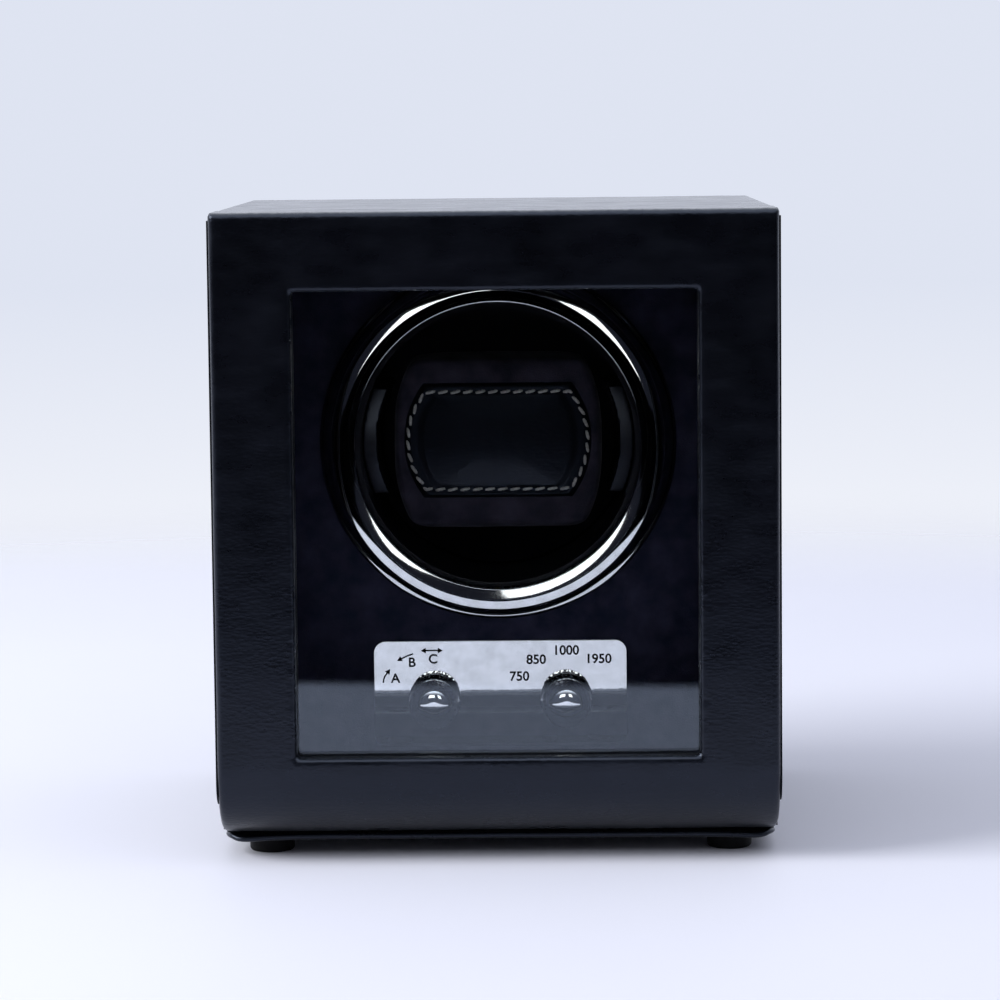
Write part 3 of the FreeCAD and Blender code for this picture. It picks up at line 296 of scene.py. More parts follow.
def adopt(item, slot, body, material=None, replaced=()):
    """Tidy a piece's mesh, then give it its finish, its body and the nodes it stands for."""
    if item.name not in bpy.context.scene.collection.objects:
        bpy.context.scene.collection.objects.link(item)
    shape = bmesh.new()
    shape.from_mesh(item.data)
    bmesh.ops.remove_doubles(shape, verts=shape.verts, dist=1e-6)
    bmesh.ops.recalc_face_normals(shape, faces=shape.faces)
    shape.to_mesh(item.data)
    shape.free()
    item.data.shade_smooth()
    item.data.materials.clear()
    item.data.materials.append(material or finishes[slot])
    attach(item, body)
    if replaced:
        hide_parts(*replaced)
    return item


def apply_modifiers(item):
    """Turn what the modifiers make into the piece's own mesh."""
    graph = bpy.context.evaluated_depsgraph_get()
    data = bpy.data.meshes.new_from_object(item.evaluated_get(graph))
    item.modifiers.clear()
    item.data = data


def copy_of(node, name):
    """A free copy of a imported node's mesh, to work on."""
    item = bpy.data.objects.new(name, frame["nodes"][node].data.copy())
    bpy.context.scene.collection.objects.link(item)
    return item


def remesh(item, voxel):
    change = item.modifiers.new("voxels", "REMESH")
    change.mode = "VOXEL"
    change.voxel_size = voxel
    bpy.context.view_layer.update()
    apply_modifiers(item)


def sharp_by_angle(item, degrees):
    item.data.set_sharp_from_angle(angle=math.radians(degrees))


def arc(centre, radius, start, end, steps):
    """Points along an arc, angles in degrees from the first axis towards the second."""
    turns = [math.radians(start + (end - start) * step / steps) for step in range(steps + 1)]
    return [(centre[0] + radius * math.cos(turn), centre[1] + radius * math.sin(turn))
            for turn in turns]


def rounded_rectangle(low, high, corner, steps=10):
    """The outline of a rectangle with round corners, as pairs (across, up or along)."""
    left, right = low[0] + corner, high[0] - corner
    near, far = low[1] + corner, high[1] - corner
    outline = []
    for centre, start in (((right, near), -90), ((right, far), 0), ((left, far), 90), ((left, near), 180)):
        outline += arc(centre, corner, start, start + 90, steps)
    return outline


def lathe(profile, centre, steps=160, closed=False, flute=None):
    """Turn a profile of (radius, y) about a line along Y through centre (x, z).

    flute, where given, changes the radius by the angle and the place along the profile.
    """
    points = []
    for index, (radius, y) in enumerate(profile):
        for step in range(steps):
            turn = 2 * math.pi * step / steps
            reach = radius + (flute(turn, index) if flute else 0)
            points.append((centre[0] + reach * math.sin(turn), y, centre[1] + reach * math.cos(turn)))
    return points, grid_faces(len(profile), steps, wrap=True, closed=closed)


def grid_faces(rows, columns, wrap=False, closed=False, first=0):
    """Quads of a grid whose points run column by column within each row, from point first.

    wrap joins the last column to the first one, and closed joins the rows in the same way.
    """
    faces = []
    for row in range(rows if closed else rows - 1):
        here = first + row * columns
        there = first + (row + 1) % rows * columns
        for column in range(columns if wrap else columns - 1):
            ahead = (column + 1) % columns
            faces.append((here + column, here + ahead, there + ahead, there + column))
    return faces


def capped_faces(rows, columns, first=0):
    """The faces of a tube whose rows are loops, with both its ends closed."""
    last = first + (rows - 1) * columns
    return grid_faces(rows, columns, wrap=True, first=first) + [
        tuple(range(first, first + columns)), tuple(reversed(range(last, last + columns)))]


def middle_of(node):
    """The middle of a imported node's box."""
    low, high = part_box(node)
    return (low + high) / 2


def ripple(place, cells_per_metre, stretch=(1, 1, 1)):
    """Smooth noise from -1 to 1 at a place, so many cells to the metre."""
    return noise.noise(Vector((place[0] * stretch[0], place[1] * stretch[1], place[2] * stretch[2]))
                       * cells_per_metre)


# ------------------------------------------------------------------------------ leather covers

def closeness(distance, reach):
    """1 on a line, falling smoothly to 0 at a distance of reach."""
    share = max(0.0, 1 - abs(distance) / reach)
    return share * share * (3 - 2 * share)


def door_relief(place):
    """How far the door's leather stands out: padding, creases by the edges, corner tucks."""
    x, y, z = place
    swell = 0.10 * ripple(place, 24) + 0.05 * ripple(place, 70)
    by_top = closeness(z - door_high.z, 5 * MM) * (y < door_low.y + 8 * MM)
    out_x = max(WINDOW["left"] - x, x - WINDOW["right"])
    out_z = max(WINDOW["low"] - z, z - WINDOW["high"])
    by_window = closeness(max(out_x, out_z), 4 * MM)
    crease_x = ripple(place, 520, (1, 0.6, 0.25)) + 0.6 * ripple(place, 1000, (1, 0.6, 0.4))
    crease_z = ripple(place, 520, (0.25, 0.6, 1)) + 0.6 * ripple(place, 1000, (0.4, 0.6, 1))
    upright_edge = out_x > out_z
    crease = crease_z if upright_edge else crease_x
    return (swell + 0.10 * by_top * crease_x + 0.09 * by_window * crease) * MM


def make_door():
    """The door's leather over its board, softened at every edge as wrapped leather is."""
    item = copy_of("door_frame", "door_leather")
    remesh(item, 0.8 * MM)
    back = door_high.y - 1.5 * MM
    for vertex, normal in zip(item.data.vertices, [v.normal.copy() for v in item.data.vertices]):
        if vertex.co.y < back:
            vertex.co += normal * (door_relief(vertex.co) - 0.05 * MM)
    adopt(item, "black_leather", "door", replaced=["door_frame"])


def wrap_outline():
    """The case's leather seen from the front: up the left side, over the top, down the right."""
    radius = 2 * MM
    low, high = case_low.z, case_high.z
    half = case_high.x
    side_steps = 96
    top_steps = 88
    side = [(-half, low + (high - radius - low) * step / side_steps) for step in range(side_steps + 1)]
    corner = arc((-half + radius, high - radius), radius, 180, 90, 5)
    top_run = 2 * (half - radius)
    top = [(-half + radius + top_run * step / top_steps, high) for step in range(1, top_steps)]
    left = side + corner[1:]
    right = [(-x, z) for x, z in reversed(left)]
    return left + top + right


def make_case():
    """The leather round the case, with slight waves where it was stretched and glued."""
    outline = wrap_outline()
    rows = 78
    depth = case_high.y - case_low.y
    points = []
    for row in range(rows + 1):
        y = case_low.y + depth * row / rows
        by_rim = closeness(min(y - case_low.y, case_high.y - y), 6 * MM)
        for x, z in outline:
            place = (x, y, z)
            inward = Vector((-x, 0, (case_low.z + case_high.z) / 2 - z)).normalized()
            wave = 0.07 + 0.05 * ripple(place, 22) + 0.05 * by_rim * ripple(place, 420, (1, 0.3, 1))
            points.append(Vector(place) + inward * max(wave, 0) * MM)
    faces = grid_faces(rows + 1, len(outline))
    item = piece("case_leather_wrap", points, faces, "black_leather", "case",
                 replaced=["case_leather"])
    thicken = item.modifiers.new("thickness", "SOLIDIFY")
    thicken.thickness = 0.5 * MM
    thicken.offset = -1
    cutter = hinge_cutter()
    notch = item.modifiers.new("hinge_seats", "BOOLEAN")
    notch.object = cutter
    notch.operation = "DIFFERENCE"
    bpy.context.view_layer.update()
    apply_modifiers(item)
    item.data.materials.clear()
    item.data.materials.append(finishes["black_leather"])
    bpy.data.objects.remove(cutter)


def hinge_cutter():
    """The two blocks that the leather leaves free for the hinge knuckles."""
    low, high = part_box("hinge_case_leaves")
    tall = 30 * MM
    points = []
    faces = []
    for start in (low.z, high.z - tall):
        first = len(points)
        for x in (low.x - 1 * MM, low.x + 5 * MM):
            for y in (case_low.y - 1 * MM, case_low.y + 2.2 * MM):
                for z in (start - 0.1 * MM, start + tall + 0.1 * MM):
                    points.append((x, y, z))
        for corners in ((0, 1, 3, 2), (4, 6, 7, 5), (0, 4, 5, 1), (2, 3, 7, 6), (0, 2, 6, 4), (1, 5, 7, 3)):
            faces.append(tuple(first + corner for corner in corners))
    data = bpy.data.meshes.new("seat_blocks")
    data.from_pydata(points, [], faces)
    item = bpy.data.objects.new("seat_blocks", data)
    bpy.context.scene.collection.objects.link(item)
    return item


def make_base():
    """The thin leather-wrapped board under the case, whose front corners droop a little."""
    low, high = base_low, base_high
    corner = 8 * MM
    edge = (high.z - low.z) / 2
    outline = rounded_rectangle((low.x, low.y), (high.x, high.y), corner, 14)
    spread = []
    for index, (x, y) in enumerate(outline):
        after = outline[(index + 1) % len(outline)]
        steps = max(1, round(math.dist((x, y), after) / (2 * MM)))
        spread += [(x + (after[0] - x) * step / steps, y + (after[1] - y) * step / steps)
                   for step in range(steps)]
    middle_z = (low.z + high.z) / 2
    rounded = [(8 * MM, edge)]
    rounded += [(edge - edge * math.sin(math.radians(turn)), edge * math.cos(math.radians(turn)))
                for turn in range(0, 181, 20)]
    rounded += [(8 * MM, -edge)]
    points = []
    for inset, height in rounded:
        for x, y in spread:
            toward = Vector((
                max(min(x, high.x - corner), low.x + corner) - x,
                max(min(y, high.y - corner), low.y + corner) - y, 0))
            inward = toward.normalized() if toward.length > 1e-9 else Vector((0, 1, 0))
            place = Vector((x, y, middle_z + height)) + inward * inset
            side = abs(place.x) - (high.x - 26 * MM)
            droop = closeness(place.y - low.y, 4 * MM) * max(0.0, side / (26 * MM)) ** 1.5
            wave = 0.1 * ripple(place, 90) * closeness(inset, 3 * MM)
            points.append(place + Vector((0, 0, (-1.1 * droop + wave) * MM)))
    faces = capped_faces(len(rounded), len(spread))
    piece("base_wrap", points, faces, "black_leather", "case", replaced=["base_board"])


# ------------------------------------------------------------------------------- ring and plate

def tilted_profile(tilts, tip):
    """Points (radius, y) of a turned face whose tilt is known at some radii, in mm and degrees.

    The foremost point is at y = tip.
    """
    step = 0.1
    spots = []
    depth = 0.0
    radius = tilts[0][0]
    while radius <= tilts[-1][0] + 1e-6:
        spots.append((radius, depth))
        for (low, low_tilt), (high, high_tilt) in zip(tilts, tilts[1:]):
            if low <= radius + 1e-9 < high + 1e-6:
                tilt = low_tilt + (high_tilt - low_tilt) * (radius - low) / (high - low)
        depth += math.tan(math.radians(tilt)) * step
        radius += step
    level = min(depth for _, depth in spots)
    return [(radius * MM, tip + (depth - level) * MM) for radius, depth in spots]


def make_ring():
    """The polished ring: a flange on the fascia, a cove, and a rounded front bead."""
    centre = (drum_centre.x, drum_centre.z)
    bore = 48.5 * MM
    flange = (ring_high.x - ring_low.x) / 2
    tip = ring_low.y
    back = ring_high.y
    cove = 3.4 * MM
    tilts = ((47.1, -55), (47.35, -20), (47.6, -9), (50.6, -5), (51.1, 0), (51.4, 4.5), (53.6, 9.5),
             (54.3, 40), (54.6, 75))
    face = tilted_profile(tilts, tip)
    lip = face[0][0]
    profile = [(bore, back - 2 * MM), (bore, tip + 2.5 * MM), (lip, tip + 2.4 * MM)] + face
    wall = face[-1][0] + 0.1 * MM
    profile += [(wall, tip + 3 * MM), (wall, back - 4.4 * MM)]
    reach = flange - wall
    profile += [(wall + reach * (1 - math.cos(math.radians(turn))),
                 back - 1.0 * MM - cove * (1 - math.sin(math.radians(turn))))
                for turn in range(6, 85, 6)]
    profile += [(flange, back - 0.8 * MM), (flange, back), (bore + 1 * MM, back)]
    points, faces = lathe(profile, centre, 256, closed=True)
    item = piece("chrome_ring", points, faces, "chrome", "case", replaced=["bezel_ring"])
    sharp_by_angle(item, 50)


def flat_curve(name, outlines, thickness, bevel):
    """A flat plate in the XZ plane, facing -Y, from closed outlines. Its middle is at y = 0."""
    curve = bpy.data.curves.new(name, "CURVE")
    curve.dimensions = "2D"
    curve.fill_mode = "BOTH"
    curve.extrude = thickness / 2 - bevel
    curve.bevel_depth = bevel
    curve.bevel_resolution = 3
    for outline in outlines:
        spline = curve.splines.new("POLY")
        spline.points.add(len(outline) - 1)
        for point, (x, z) in zip(spline.points, outline):
            point.co = (x, z, 0, 1)
        spline.use_cyclic_u = True
    item = bpy.data.objects.new(name, curve)
    bpy.context.scene.collection.objects.link(item)
    bpy.context.view_layer.update()
    graph = bpy.context.evaluated_depsgraph_get()
    data = bpy.data.meshes.new_from_object(item.evaluated_get(graph))
    bpy.data.objects.remove(item)
    data.transform(Matrix.Rotation(math.radians(90), 4, "X"))
    return bpy.data.objects.new(name, data)


def make_plate():
    """The polished control plate, with a fine rolled edge."""
    inset = 0.35 * MM
    low = (plate_low.x + inset, plate_low.z + inset)
    high = (plate_high.x - inset, plate_high.z - inset)
    outlines = [rounded_rectangle(low, high, 4 * MM - inset)]
    for shaft in ("direction_shaft", "turns_shaft"):
        middle = middle_of(shaft)
        outlines.append(arc((middle.x, middle.z), 3.8 * MM, 0, 345, 23))
    item = flat_curve("control_plate_chrome", outlines, plate_high.y - plate_low.y, inset)
    item.data.transform(Matrix.Translation((0, (plate_low.y + plate_high.y) / 2, 0)))
    lean_forward(item.data)
    adopt(item, "chrome", "case", replaced=["control_plate"])
    flatten_faces(item)


def lean_forward(data):
    """The plate's slight lean, about the line through its middle."""
    middle = (plate_low + plate_high) / 2
    data.transform(Matrix.Translation(middle) @ Matrix.Rotation(math.radians(0.45), 4, "X")
                   @ Matrix.Translation(-middle))


def flatten_faces(item):
    """Keep the faces that look straight to the front or back flat, so that they mirror truly."""
    for face in item.data.polygons:
        face.use_smooth = abs(face.normal.y) < 0.999


def glyphs(text, size, middle):
    """Raised ink characters on the plate, centred on middle (x, z)."""
    curve = bpy.data.curves.new("glyphs", "FONT")
    curve.body = text
    curve.size = size
    curve.align_x = "CENTER"
    curve.align_y = "CENTER"
    curve.extrude = 0.05 * MM
    curve.offset = 0.10 * MM
    item = bpy.data.objects.new("glyphs", curve)
    bpy.context.scene.collection.objects.link(item)
    bpy.context.view_layer.update()
    data = bpy.data.meshes.new_from_object(item.evaluated_get(bpy.context.evaluated_depsgraph_get()))
    bpy.data.objects.remove(item)
    data.transform(Matrix.Translation((middle[0], plate_low.y - 0.05 * MM, middle[1]))
                   @ Matrix.Rotation(math.radians(90), 4, "X"))
    return data


def arrow(path, heads):
    """A thin ribbon along the path, with an arrow head at each end that heads names."""
    half = 0.25 * MM
    head_half = 0.95 * MM
    head_long = 1.7 * MM
    places = [Vector(place) for place in path]
    sides = []
    for index, place in enumerate(places):
        ahead = places[min(index + 1, len(places) - 1)] - places[max(index - 1, 0)]
        ahead.normalize()
        side = Vector((-ahead.y, ahead.x))
        sides.append((place + side * half, place - side * half))
    outlines = [[pair[0] for pair in sides] + [pair[1] for pair in reversed(sides)]]
    for end in heads:
        tip, before = (places[-1], places[-2]) if end == "end" else (places[0], places[1])
        ahead = (tip - before).normalized()
        side = Vector((-ahead.y, ahead.x))
        outlines.append([tip + ahead * head_long, tip + side * head_half, tip - side * head_half])
    front = plate_low.y
    points = []
    faces = []
    for outline in outlines:
        first = len(points)
        count = len(outline)
        for y in (front - 0.1 * MM, front + 0.02 * MM):
            points += [(spot[0], y, spot[1]) for spot in outline]
        faces.append(tuple(range(first, first + count)))
        faces.append(tuple(reversed(range(first + count, first + 2 * count))))
        for index in range(count):
            ahead = (index + 1) % count
            faces.append((first + index, first + ahead, first + count + ahead, first + count + index))
    data = bpy.data.meshes.new("arrow")
    data.from_pydata(points, [], faces)
    return data


def around(centre, radius, degrees):
    """A spot on the plate at a clock angle about a knob."""
    turn = math.radians(degrees)
    return Vector((centre[0] + radius * math.sin(turn), centre[1] + radius * math.cos(turn)))


def make_markings():
    """Letters for the turning direction with arrows, and numbers of turns a day."""
    left = middle_of("direction_shaft").xz
    right = middle_of("turns_shaft").xz
    small = 4.4 * MM
    parts = [
        glyphs("A", small, around(left, 15.0 * MM, -61)),
        glyphs("B", small, around(left, 14.7 * MM, -31)),
        glyphs("C", small, around(left, 13.7 * MM, -2)),
        glyphs("750", small, around(right, 17.4 * MM, -64)),
        glyphs("850", small, around(right, 16.6 * MM, -37)),
        glyphs("1000", small, around(right, 16.3 * MM, 0)),
        glyphs("1950", small, around(right, 17.2 * MM, 39)),
    ]
    hook = around(left, 18.0 * MM, -64)
    parts.append(arrow([hook + Vector(spot) * MM for spot in
                        ((-1.0, -2.0), (-0.9, -0.8), (-0.4, 0.4), (0.3, 1.3))], ["end"]))
    slope = around(left, 17.4 * MM, -34)
    parts.append(arrow([slope + Vector(spot) * MM for spot in ((2.6, 1.2), (0.6, 0.5), (-1.3, -0.4))],
                       ["end"]))
    level = around(left, 16.7 * MM, -3)
    parts.append(arrow([level + Vector(spot) * MM for spot in ((-2.0, 0), (0, 0.05), (2.0, 0))],
                       ["start", "end"]))
    shape = bmesh.new()
    for data in parts:
        shape.from_mesh(data)
        bpy.data.meshes.remove(data)
    whole = bpy.data.meshes.new("plate_markings")
    shape.to_mesh(whole)
    shape.free()
    lean_forward(whole)
    item = bpy.data.objects.new("plate_markings", whole)
    adopt(item, "chip_black", "case", ink)
    sharp_by_angle(item, 30)


def make_knobs():
    """Polished knobs: a fluted side, and a dome cut with small facets round its shoulder."""
    for name in ("direction", "turns"):
        low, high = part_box(f"{name}_knob")
        centre = ((low.x + high.x) / 2, (low.z + high.z) / 2)
        radius = (high.x - low.x) / 2
        tip, back = low.y, high.y
        side = radius - 0.35 * MM
        dome_deep = 6.2 * MM
        profile = [(3.1 * MM, back), (radius, back), (radius, back - 0.9 * MM),
                   (side - 0.2 * MM, back - 1.5 * MM), (side - 0.2 * MM, back - 2.2 * MM),
                   (side, back - 2.7 * MM), (side, tip + dome_deep + 0.6 * MM)]
        fluted = range(5, 7)
        dome_steps = 26
        dome = [(side * math.cos(math.radians(90 * step / dome_steps)) ** 0.62,
                 tip + dome_deep * (1 - math.sin(math.radians(90 * step / dome_steps))))
                for step in range(dome_steps + 1)]
        start = len(profile)
        profile += dome
        teeth = 32
        facets = 30

        def flute(turn, index):
            if index in fluted:
                return -0.16 * MM * (0.5 + 0.5 * math.cos(teeth * turn))
            if start <= index:
                share = (index - start) / dome_steps
                band = closeness(share - 0.4, 0.42)
                diamond = math.cos(facets * turn + math.pi * (index // 2 % 2))
                return -0.10 * MM * band * (0.5 + 0.5 * diamond) \
                    - 0.14 * MM * closeness(share, 0.2) * (0.5 + 0.5 * math.cos(teeth * turn))
            return 0

        points, faces = lathe(profile, centre, 256, flute=flute)
        item = piece(f"{name}_knob_chrome", points, faces, "chrome", f"{name}_control",
                     replaced=[f"{name}_knob"])
        sharp_by_angle(item, 60)


# ------------------------------------------------------------------------------ cuff and stitches

def cuff_block(shrink):
    """The cushion before it is filled: a block with cut corners, a little under size."""
    low = cuff_low + Vector((shrink,) * 3)
    high = cuff_high - Vector((shrink,) * 3)
    middle = (low.z + high.z) / 2
    cut = 4 * MM
    level = 12 * MM
    corner = 3 * MM
    outline = [(high.x - cut - corner, low.z), (high.x - cut, low.z + corner),
               (high.x, middle - level), (high.x, middle + level),
               (high.x - cut, high.z - corner), (high.x - cut - corner, high.z)]
    outline += [(-x, low.z + high.z - z) for x, z in outline]
    points = [(x, y, z) for y in (low.y, high.y) for x, z in outline]
    count = len(outline)
    faces = [tuple(range(count)), tuple(reversed(range(count, 2 * count)))]
    faces += [(index, (index + 1) % count, (index + 1) % count + count, index + count)
              for index in range(count)]
    data = bpy.data.meshes.new("cuff_suede")
    data.from_pydata(points, [], faces)
    item = bpy.data.objects.new("cuff_suede", data)
    bpy.context.scene.collection.objects.link(item)
    shape = bmesh.new()
    shape.from_mesh(data)
    bmesh.ops.recalc_face_normals(shape, faces=shape.faces)
    shape.to_mesh(data)
    shape.free()
    return item


CLOTH_FRAMES = 20


def inflate(item, pressure, limit):
    """Fill a closed cover with Cloth pressure, and keep every point within limit of its start."""
    before = [vertex.co.copy() for vertex in item.data.vertices]
    cloth = item.modifiers.new("filling", "CLOTH")
    settings = cloth.settings
    settings.use_pressure = True
    settings.uniform_pressure_force = pressure
    settings.effector_weights.gravity = 0
    settings.tension_stiffness = 40
    settings.compression_stiffness = 40
    settings.bending_stiffness = 2
    scene = bpy.context.scene
    for step in range(1, CLOTH_FRAMES + 1):
        scene.frame_set(step)
    apply_modifiers(item)
    scene.frame_set(1)
    for vertex, start in zip(item.data.vertices, before):
        moved = vertex.co - start
        if moved.length > limit:
            vertex.co = start + moved * (limit / moved.length)


def make_cuff():
    """The stuffed suede cushion, swollen between its corners."""
    item = cuff_block(1.6 * MM)
    remesh(item, 4 * MM)
    inflate(item, 4, 3.2 * MM)
    item.modifiers.new("smooth", "SUBSURF").levels = 1
    item.modifiers["smooth"].render_levels = 1
    bpy.context.view_layer.update()
    apply_modifiers(item)
    for vertex in item.data.vertices:
        place = vertex.co
        normal = vertex.normal
        crease = 0.16 * ripple(place, 75) + 0.07 * ripple(place, 260, (1, 1, 0.5))
        vertex.co = place + normal * crease * MM
    adopt(item, "black_suede", "cuff", replaced=["pillow_cover"])
    return item


def make_holder():
    """The moulded holder: its arms have softened edges and bow back towards their ends."""
    item = copy_of("cuff_holder", "cuff_holder_moulded")
    remesh(item, 0.7 * MM)
    low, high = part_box("cuff_holder")
    reach = 18 * MM
    for vertex in item.data.vertices:
        place = vertex.co
        if place.y < low.y + 12 * MM and abs(place.z - drum_centre.z) < reach + 1 * MM:
            share = (place.z - drum_centre.z) / reach
            front_share = max(0.0, 1 - (place.y - low.y) / (12 * MM))
            place.y += 1.6 * MM * share * share * front_share
    adopt(item, "gloss_plastic", "drum", holder_plastic(high.y - 14 * MM, high.y - 8 * MM),
          replaced=["cuff_holder"])


def front_of(item):
    """A function that gives the y of a piece's front surface at (x, z), by a ray from the front."""
    def depth_at(x, z):
        start = Vector((x, item.data.vertices[0].co.y - 0.5, z))
        hit, place, _, _ = item.ray_cast(start, Vector((0, 1, 0)))
        return place.y if hit else patch_high.y

    return depth_at


def patch_edge(half_wide, half_tall, waist):
    """The patch's outline, from its top left corner clockwise: straight edges, bowed sides."""
    outline = []
    side_steps = 26
    flat_steps = 44
    corner_x = half_wide - waist
    bow = (half_tall ** 2 + waist ** 2) / (2 * waist)
    sweep = math.asin(half_tall / bow)
    for step in range(flat_steps):
        outline.append((-corner_x + 2 * corner_x * step / flat_steps, half_tall))
    for step in range(side_steps):
        turn = sweep * (1 - 2 * step / side_steps)
        outline.append((half_wide - bow * (1 - math.cos(turn)), bow * math.sin(turn)))
    outline += [(-x, -z) for x, z in outline]
    return outline


def make_patch(depth_at):
    """A padded leather patch laid over the cushion, pressed in along its stitches."""
    centre_x = (patch_low.x + patch_high.x) / 2
    centre_z = (patch_low.z + patch_high.z) / 2
    half_wide = (patch_high.x - patch_low.x) / 2
    half_tall = (patch_high.z - patch_low.z) / 2
    outline = patch_edge(half_wide, half_tall, 6.5 * MM)
    seam = 2.6 * MM
    rings = 26
    points = []
    lift = patch_high.y - patch_low.y
    for row in range(rings + 1):
        share = 1 - row / rings
        for x, z in outline:
            spot_x, spot_z = x * share, z * share
            from_edge = min(half_wide - abs(spot_x), half_tall - abs(spot_z), (1 - share) * half_tall)
            rise = lift * min(1.0, (from_edge / (1.1 * MM)) ** 0.5 if from_edge > 0 else 0)
            groove = 0.55 * MM * closeness(from_edge - seam, 1.2 * MM)
            dome = 1.5 * MM * math.sin(math.pi / 2 * max(0.0, min(1.0, (from_edge - seam) / (14 * MM))))
            place_x, place_z = centre_x + spot_x, centre_z + spot_z
            y = depth_at(place_x, place_z) - rise + groove - dome
            y += 0.05 * MM * ripple((place_x, 0, place_z), 60)
            points.append((place_x, y, place_z))
    faces = grid_faces(rings + 1, len(outline), wrap=True)
    item = piece("patch_leather_pad", points, faces, "patch_leather", "cuff",
                 replaced=["pillow_patch"])
    return item, (centre_x, centre_z, half_wide, half_tall)


def make_stitches(surface_at, patch_size):
    """Slanted saddle stitches of waxed thread: each one dips into the leather at both ends."""
    centre_x, centre_z, half_wide, half_tall = patch_size
    line = patch_edge(half_wide - 1.3 * MM, half_tall - 2.9 * MM, 6.0 * MM)
    path = [Vector((centre_x + x, centre_z + z)) for x, z in line]
    lengths = [(path[(index + 1) % len(path)] - spot).length for index, spot in enumerate(path)]
    total = sum(lengths)
    count = round(total / (4.1 * MM))
    points = []
    faces = []

    def along(distance):
        distance %= total
        for index, length in enumerate(lengths):
            if distance <= length:
                ahead = path[(index + 1) % len(path)] - path[index]
                return path[index] + ahead * (distance / length), ahead.normalized()
            distance -= length
        return path[0], Vector((1, 0))

    sides = 8
    steps = 12
    for stitch in range(count):
        start = total * stitch / count
        length = total / count * 0.78
        slant = 0.16 + chance.uniform(-0.03, 0.03)
        first = len(points)
        for step in range(steps + 1):
            share = step / steps
            spot, ahead = along(start + length * share)
            side = Vector((-ahead.y, ahead.x))
            spot = spot + side * (share - 0.5) * slant * 4 * MM
            arch = math.sin(math.pi * share)
            thick = (0.34 + 0.20 * arch ** 0.5) * MM
            lift = 0.42 * arch ** 0.6 - 0.25
            middle = Vector((spot.x, surface_at(spot.x, spot.y) - lift * MM, spot.y))
            across = Vector((side.x, 0, side.y))
            for corner in range(sides):
                turn = 2 * math.pi * corner / sides
                twist = 1 + 0.12 * math.cos(2 * turn + share * 18)
                points.append(middle + across * (math.cos(turn) * thick * twist)
                              + Vector((0, -1, 0)) * (math.sin(turn) * thick * twist))
        faces += capped_faces(steps + 1, sides, first)
    piece("patch_stitches", points, faces, "patch_leather", "cuff", thread)


# ----------------------------------------------------------------------------------- small parts

def make_feet():
    """Round rubber feet with a softly rolled lower edge and a well for the screw."""
    low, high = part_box("rubber_feet")
    radius = 7.25 * MM
    tall = high.z - low.z
    roll = 1.2 * MM
    centres = [(x, y) for x in (low.x + radius, high.x - radius)
               for y in (low.y + radius, high.y - radius)]
    profile = [(1.6 * MM, tall), (radius, tall), (radius, tall - 0.3 * MM)]
    profile += arc((radius - roll, roll), roll, 0, -90, 8)
    profile += [(3.2 * MM, 0), (2.9 * MM, 0.4 * MM), (2.8 * MM, 3.4 * MM), (1.6 * MM, 3.4 * MM)]
    points = []
    faces = []
    steps = 72
    for x, y in centres:
        first = len(points)
        for reach, z in profile:
            for step in range(steps):
                turn = 2 * math.pi * step / steps
                points.append((x + reach * math.cos(turn), y + reach * math.sin(turn), low.z + z))
        faces += grid_faces(len(profile), steps, wrap=True, closed=True, first=first)
    made = piece("soft_feet", points, faces, "rubber", "case", replaced=["rubber_feet"])
    sharp_by_angle(made, 50)


def make_cover_screws():
    """Countersunk screws in the rear cover, each with a cross recess turned its own way."""
    low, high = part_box("rear_cover_screws")
    head = 2.75 * MM
    shank = 1.25 * MM
    rings = 22
    sides = 64
    points = []
    faces = []
    for centre_x in (low.x + head, high.x - head):
        for centre_z in (low.z + head, high.z - head):
            first = len(points)
            tilt = chance.uniform(0, math.pi / 2)
            rows = [(head * (ring + 0.02) / rings, high.y - 0.12 * MM * (ring / rings) ** 2)
                    for ring in range(rings + 1)]
            rows += [(shank, high.y - 2 * MM), (shank, low.y + 0.8 * MM), (0.1 * MM, low.y)]
            for index, (reach, y) in enumerate(rows):
                for side in range(sides):
                    turn = 2 * math.pi * side / sides
                    along = abs(reach * math.cos(turn - tilt))
                    over = abs(reach * math.sin(turn - tilt))
                    narrow, long = min(along, over), max(along, over)
                    recess = closeness(narrow, 0.75 * MM) * (long < 1.6 * MM) * (index <= rings)
                    points.append((centre_x + reach * math.cos(turn), y - 0.8 * MM * recess,
                                   centre_z + reach * math.sin(turn)))
            faces += capped_faces(len(rows), sides, first)
    item = piece("cover_screws_cross", points, faces, "steel", "case",
                 replaced=["rear_cover_screws"])
    sharp_by_angle(item, 35)


# ----------------------------------------------------------------------------------- the studio

TABLE_HALF = 1.2
TABLE_FADES = (0.5, 1.1)
# The black sheet that paints dark reflections beyond the table: its half size, soft rim, turn and near
# edge.
SHADE_SHEET_HALF = 1.8
SHADE_SHEET_RIM = 0.03
SHADE_SHEET_TURN = math.radians(6)
SHADE_SHEET_EDGE = Vector((0, -0.435, 0.001))


def sheet_of(name, half_x, half_y, material):
    """A flat rectangle about the origin."""
    data = bpy.data.meshes.new(name)
    data.from_pydata([(-half_x, -half_y, 0), (half_x, -half_y, 0), (half_x, half_y, 0),
                      (-half_x, half_y, 0)], [], [(0, 1, 2, 3)])
    data.materials.append(material)
    item = bpy.data.objects.new(name, data)
    bpy.context.scene.collection.objects.link(item)
    return item


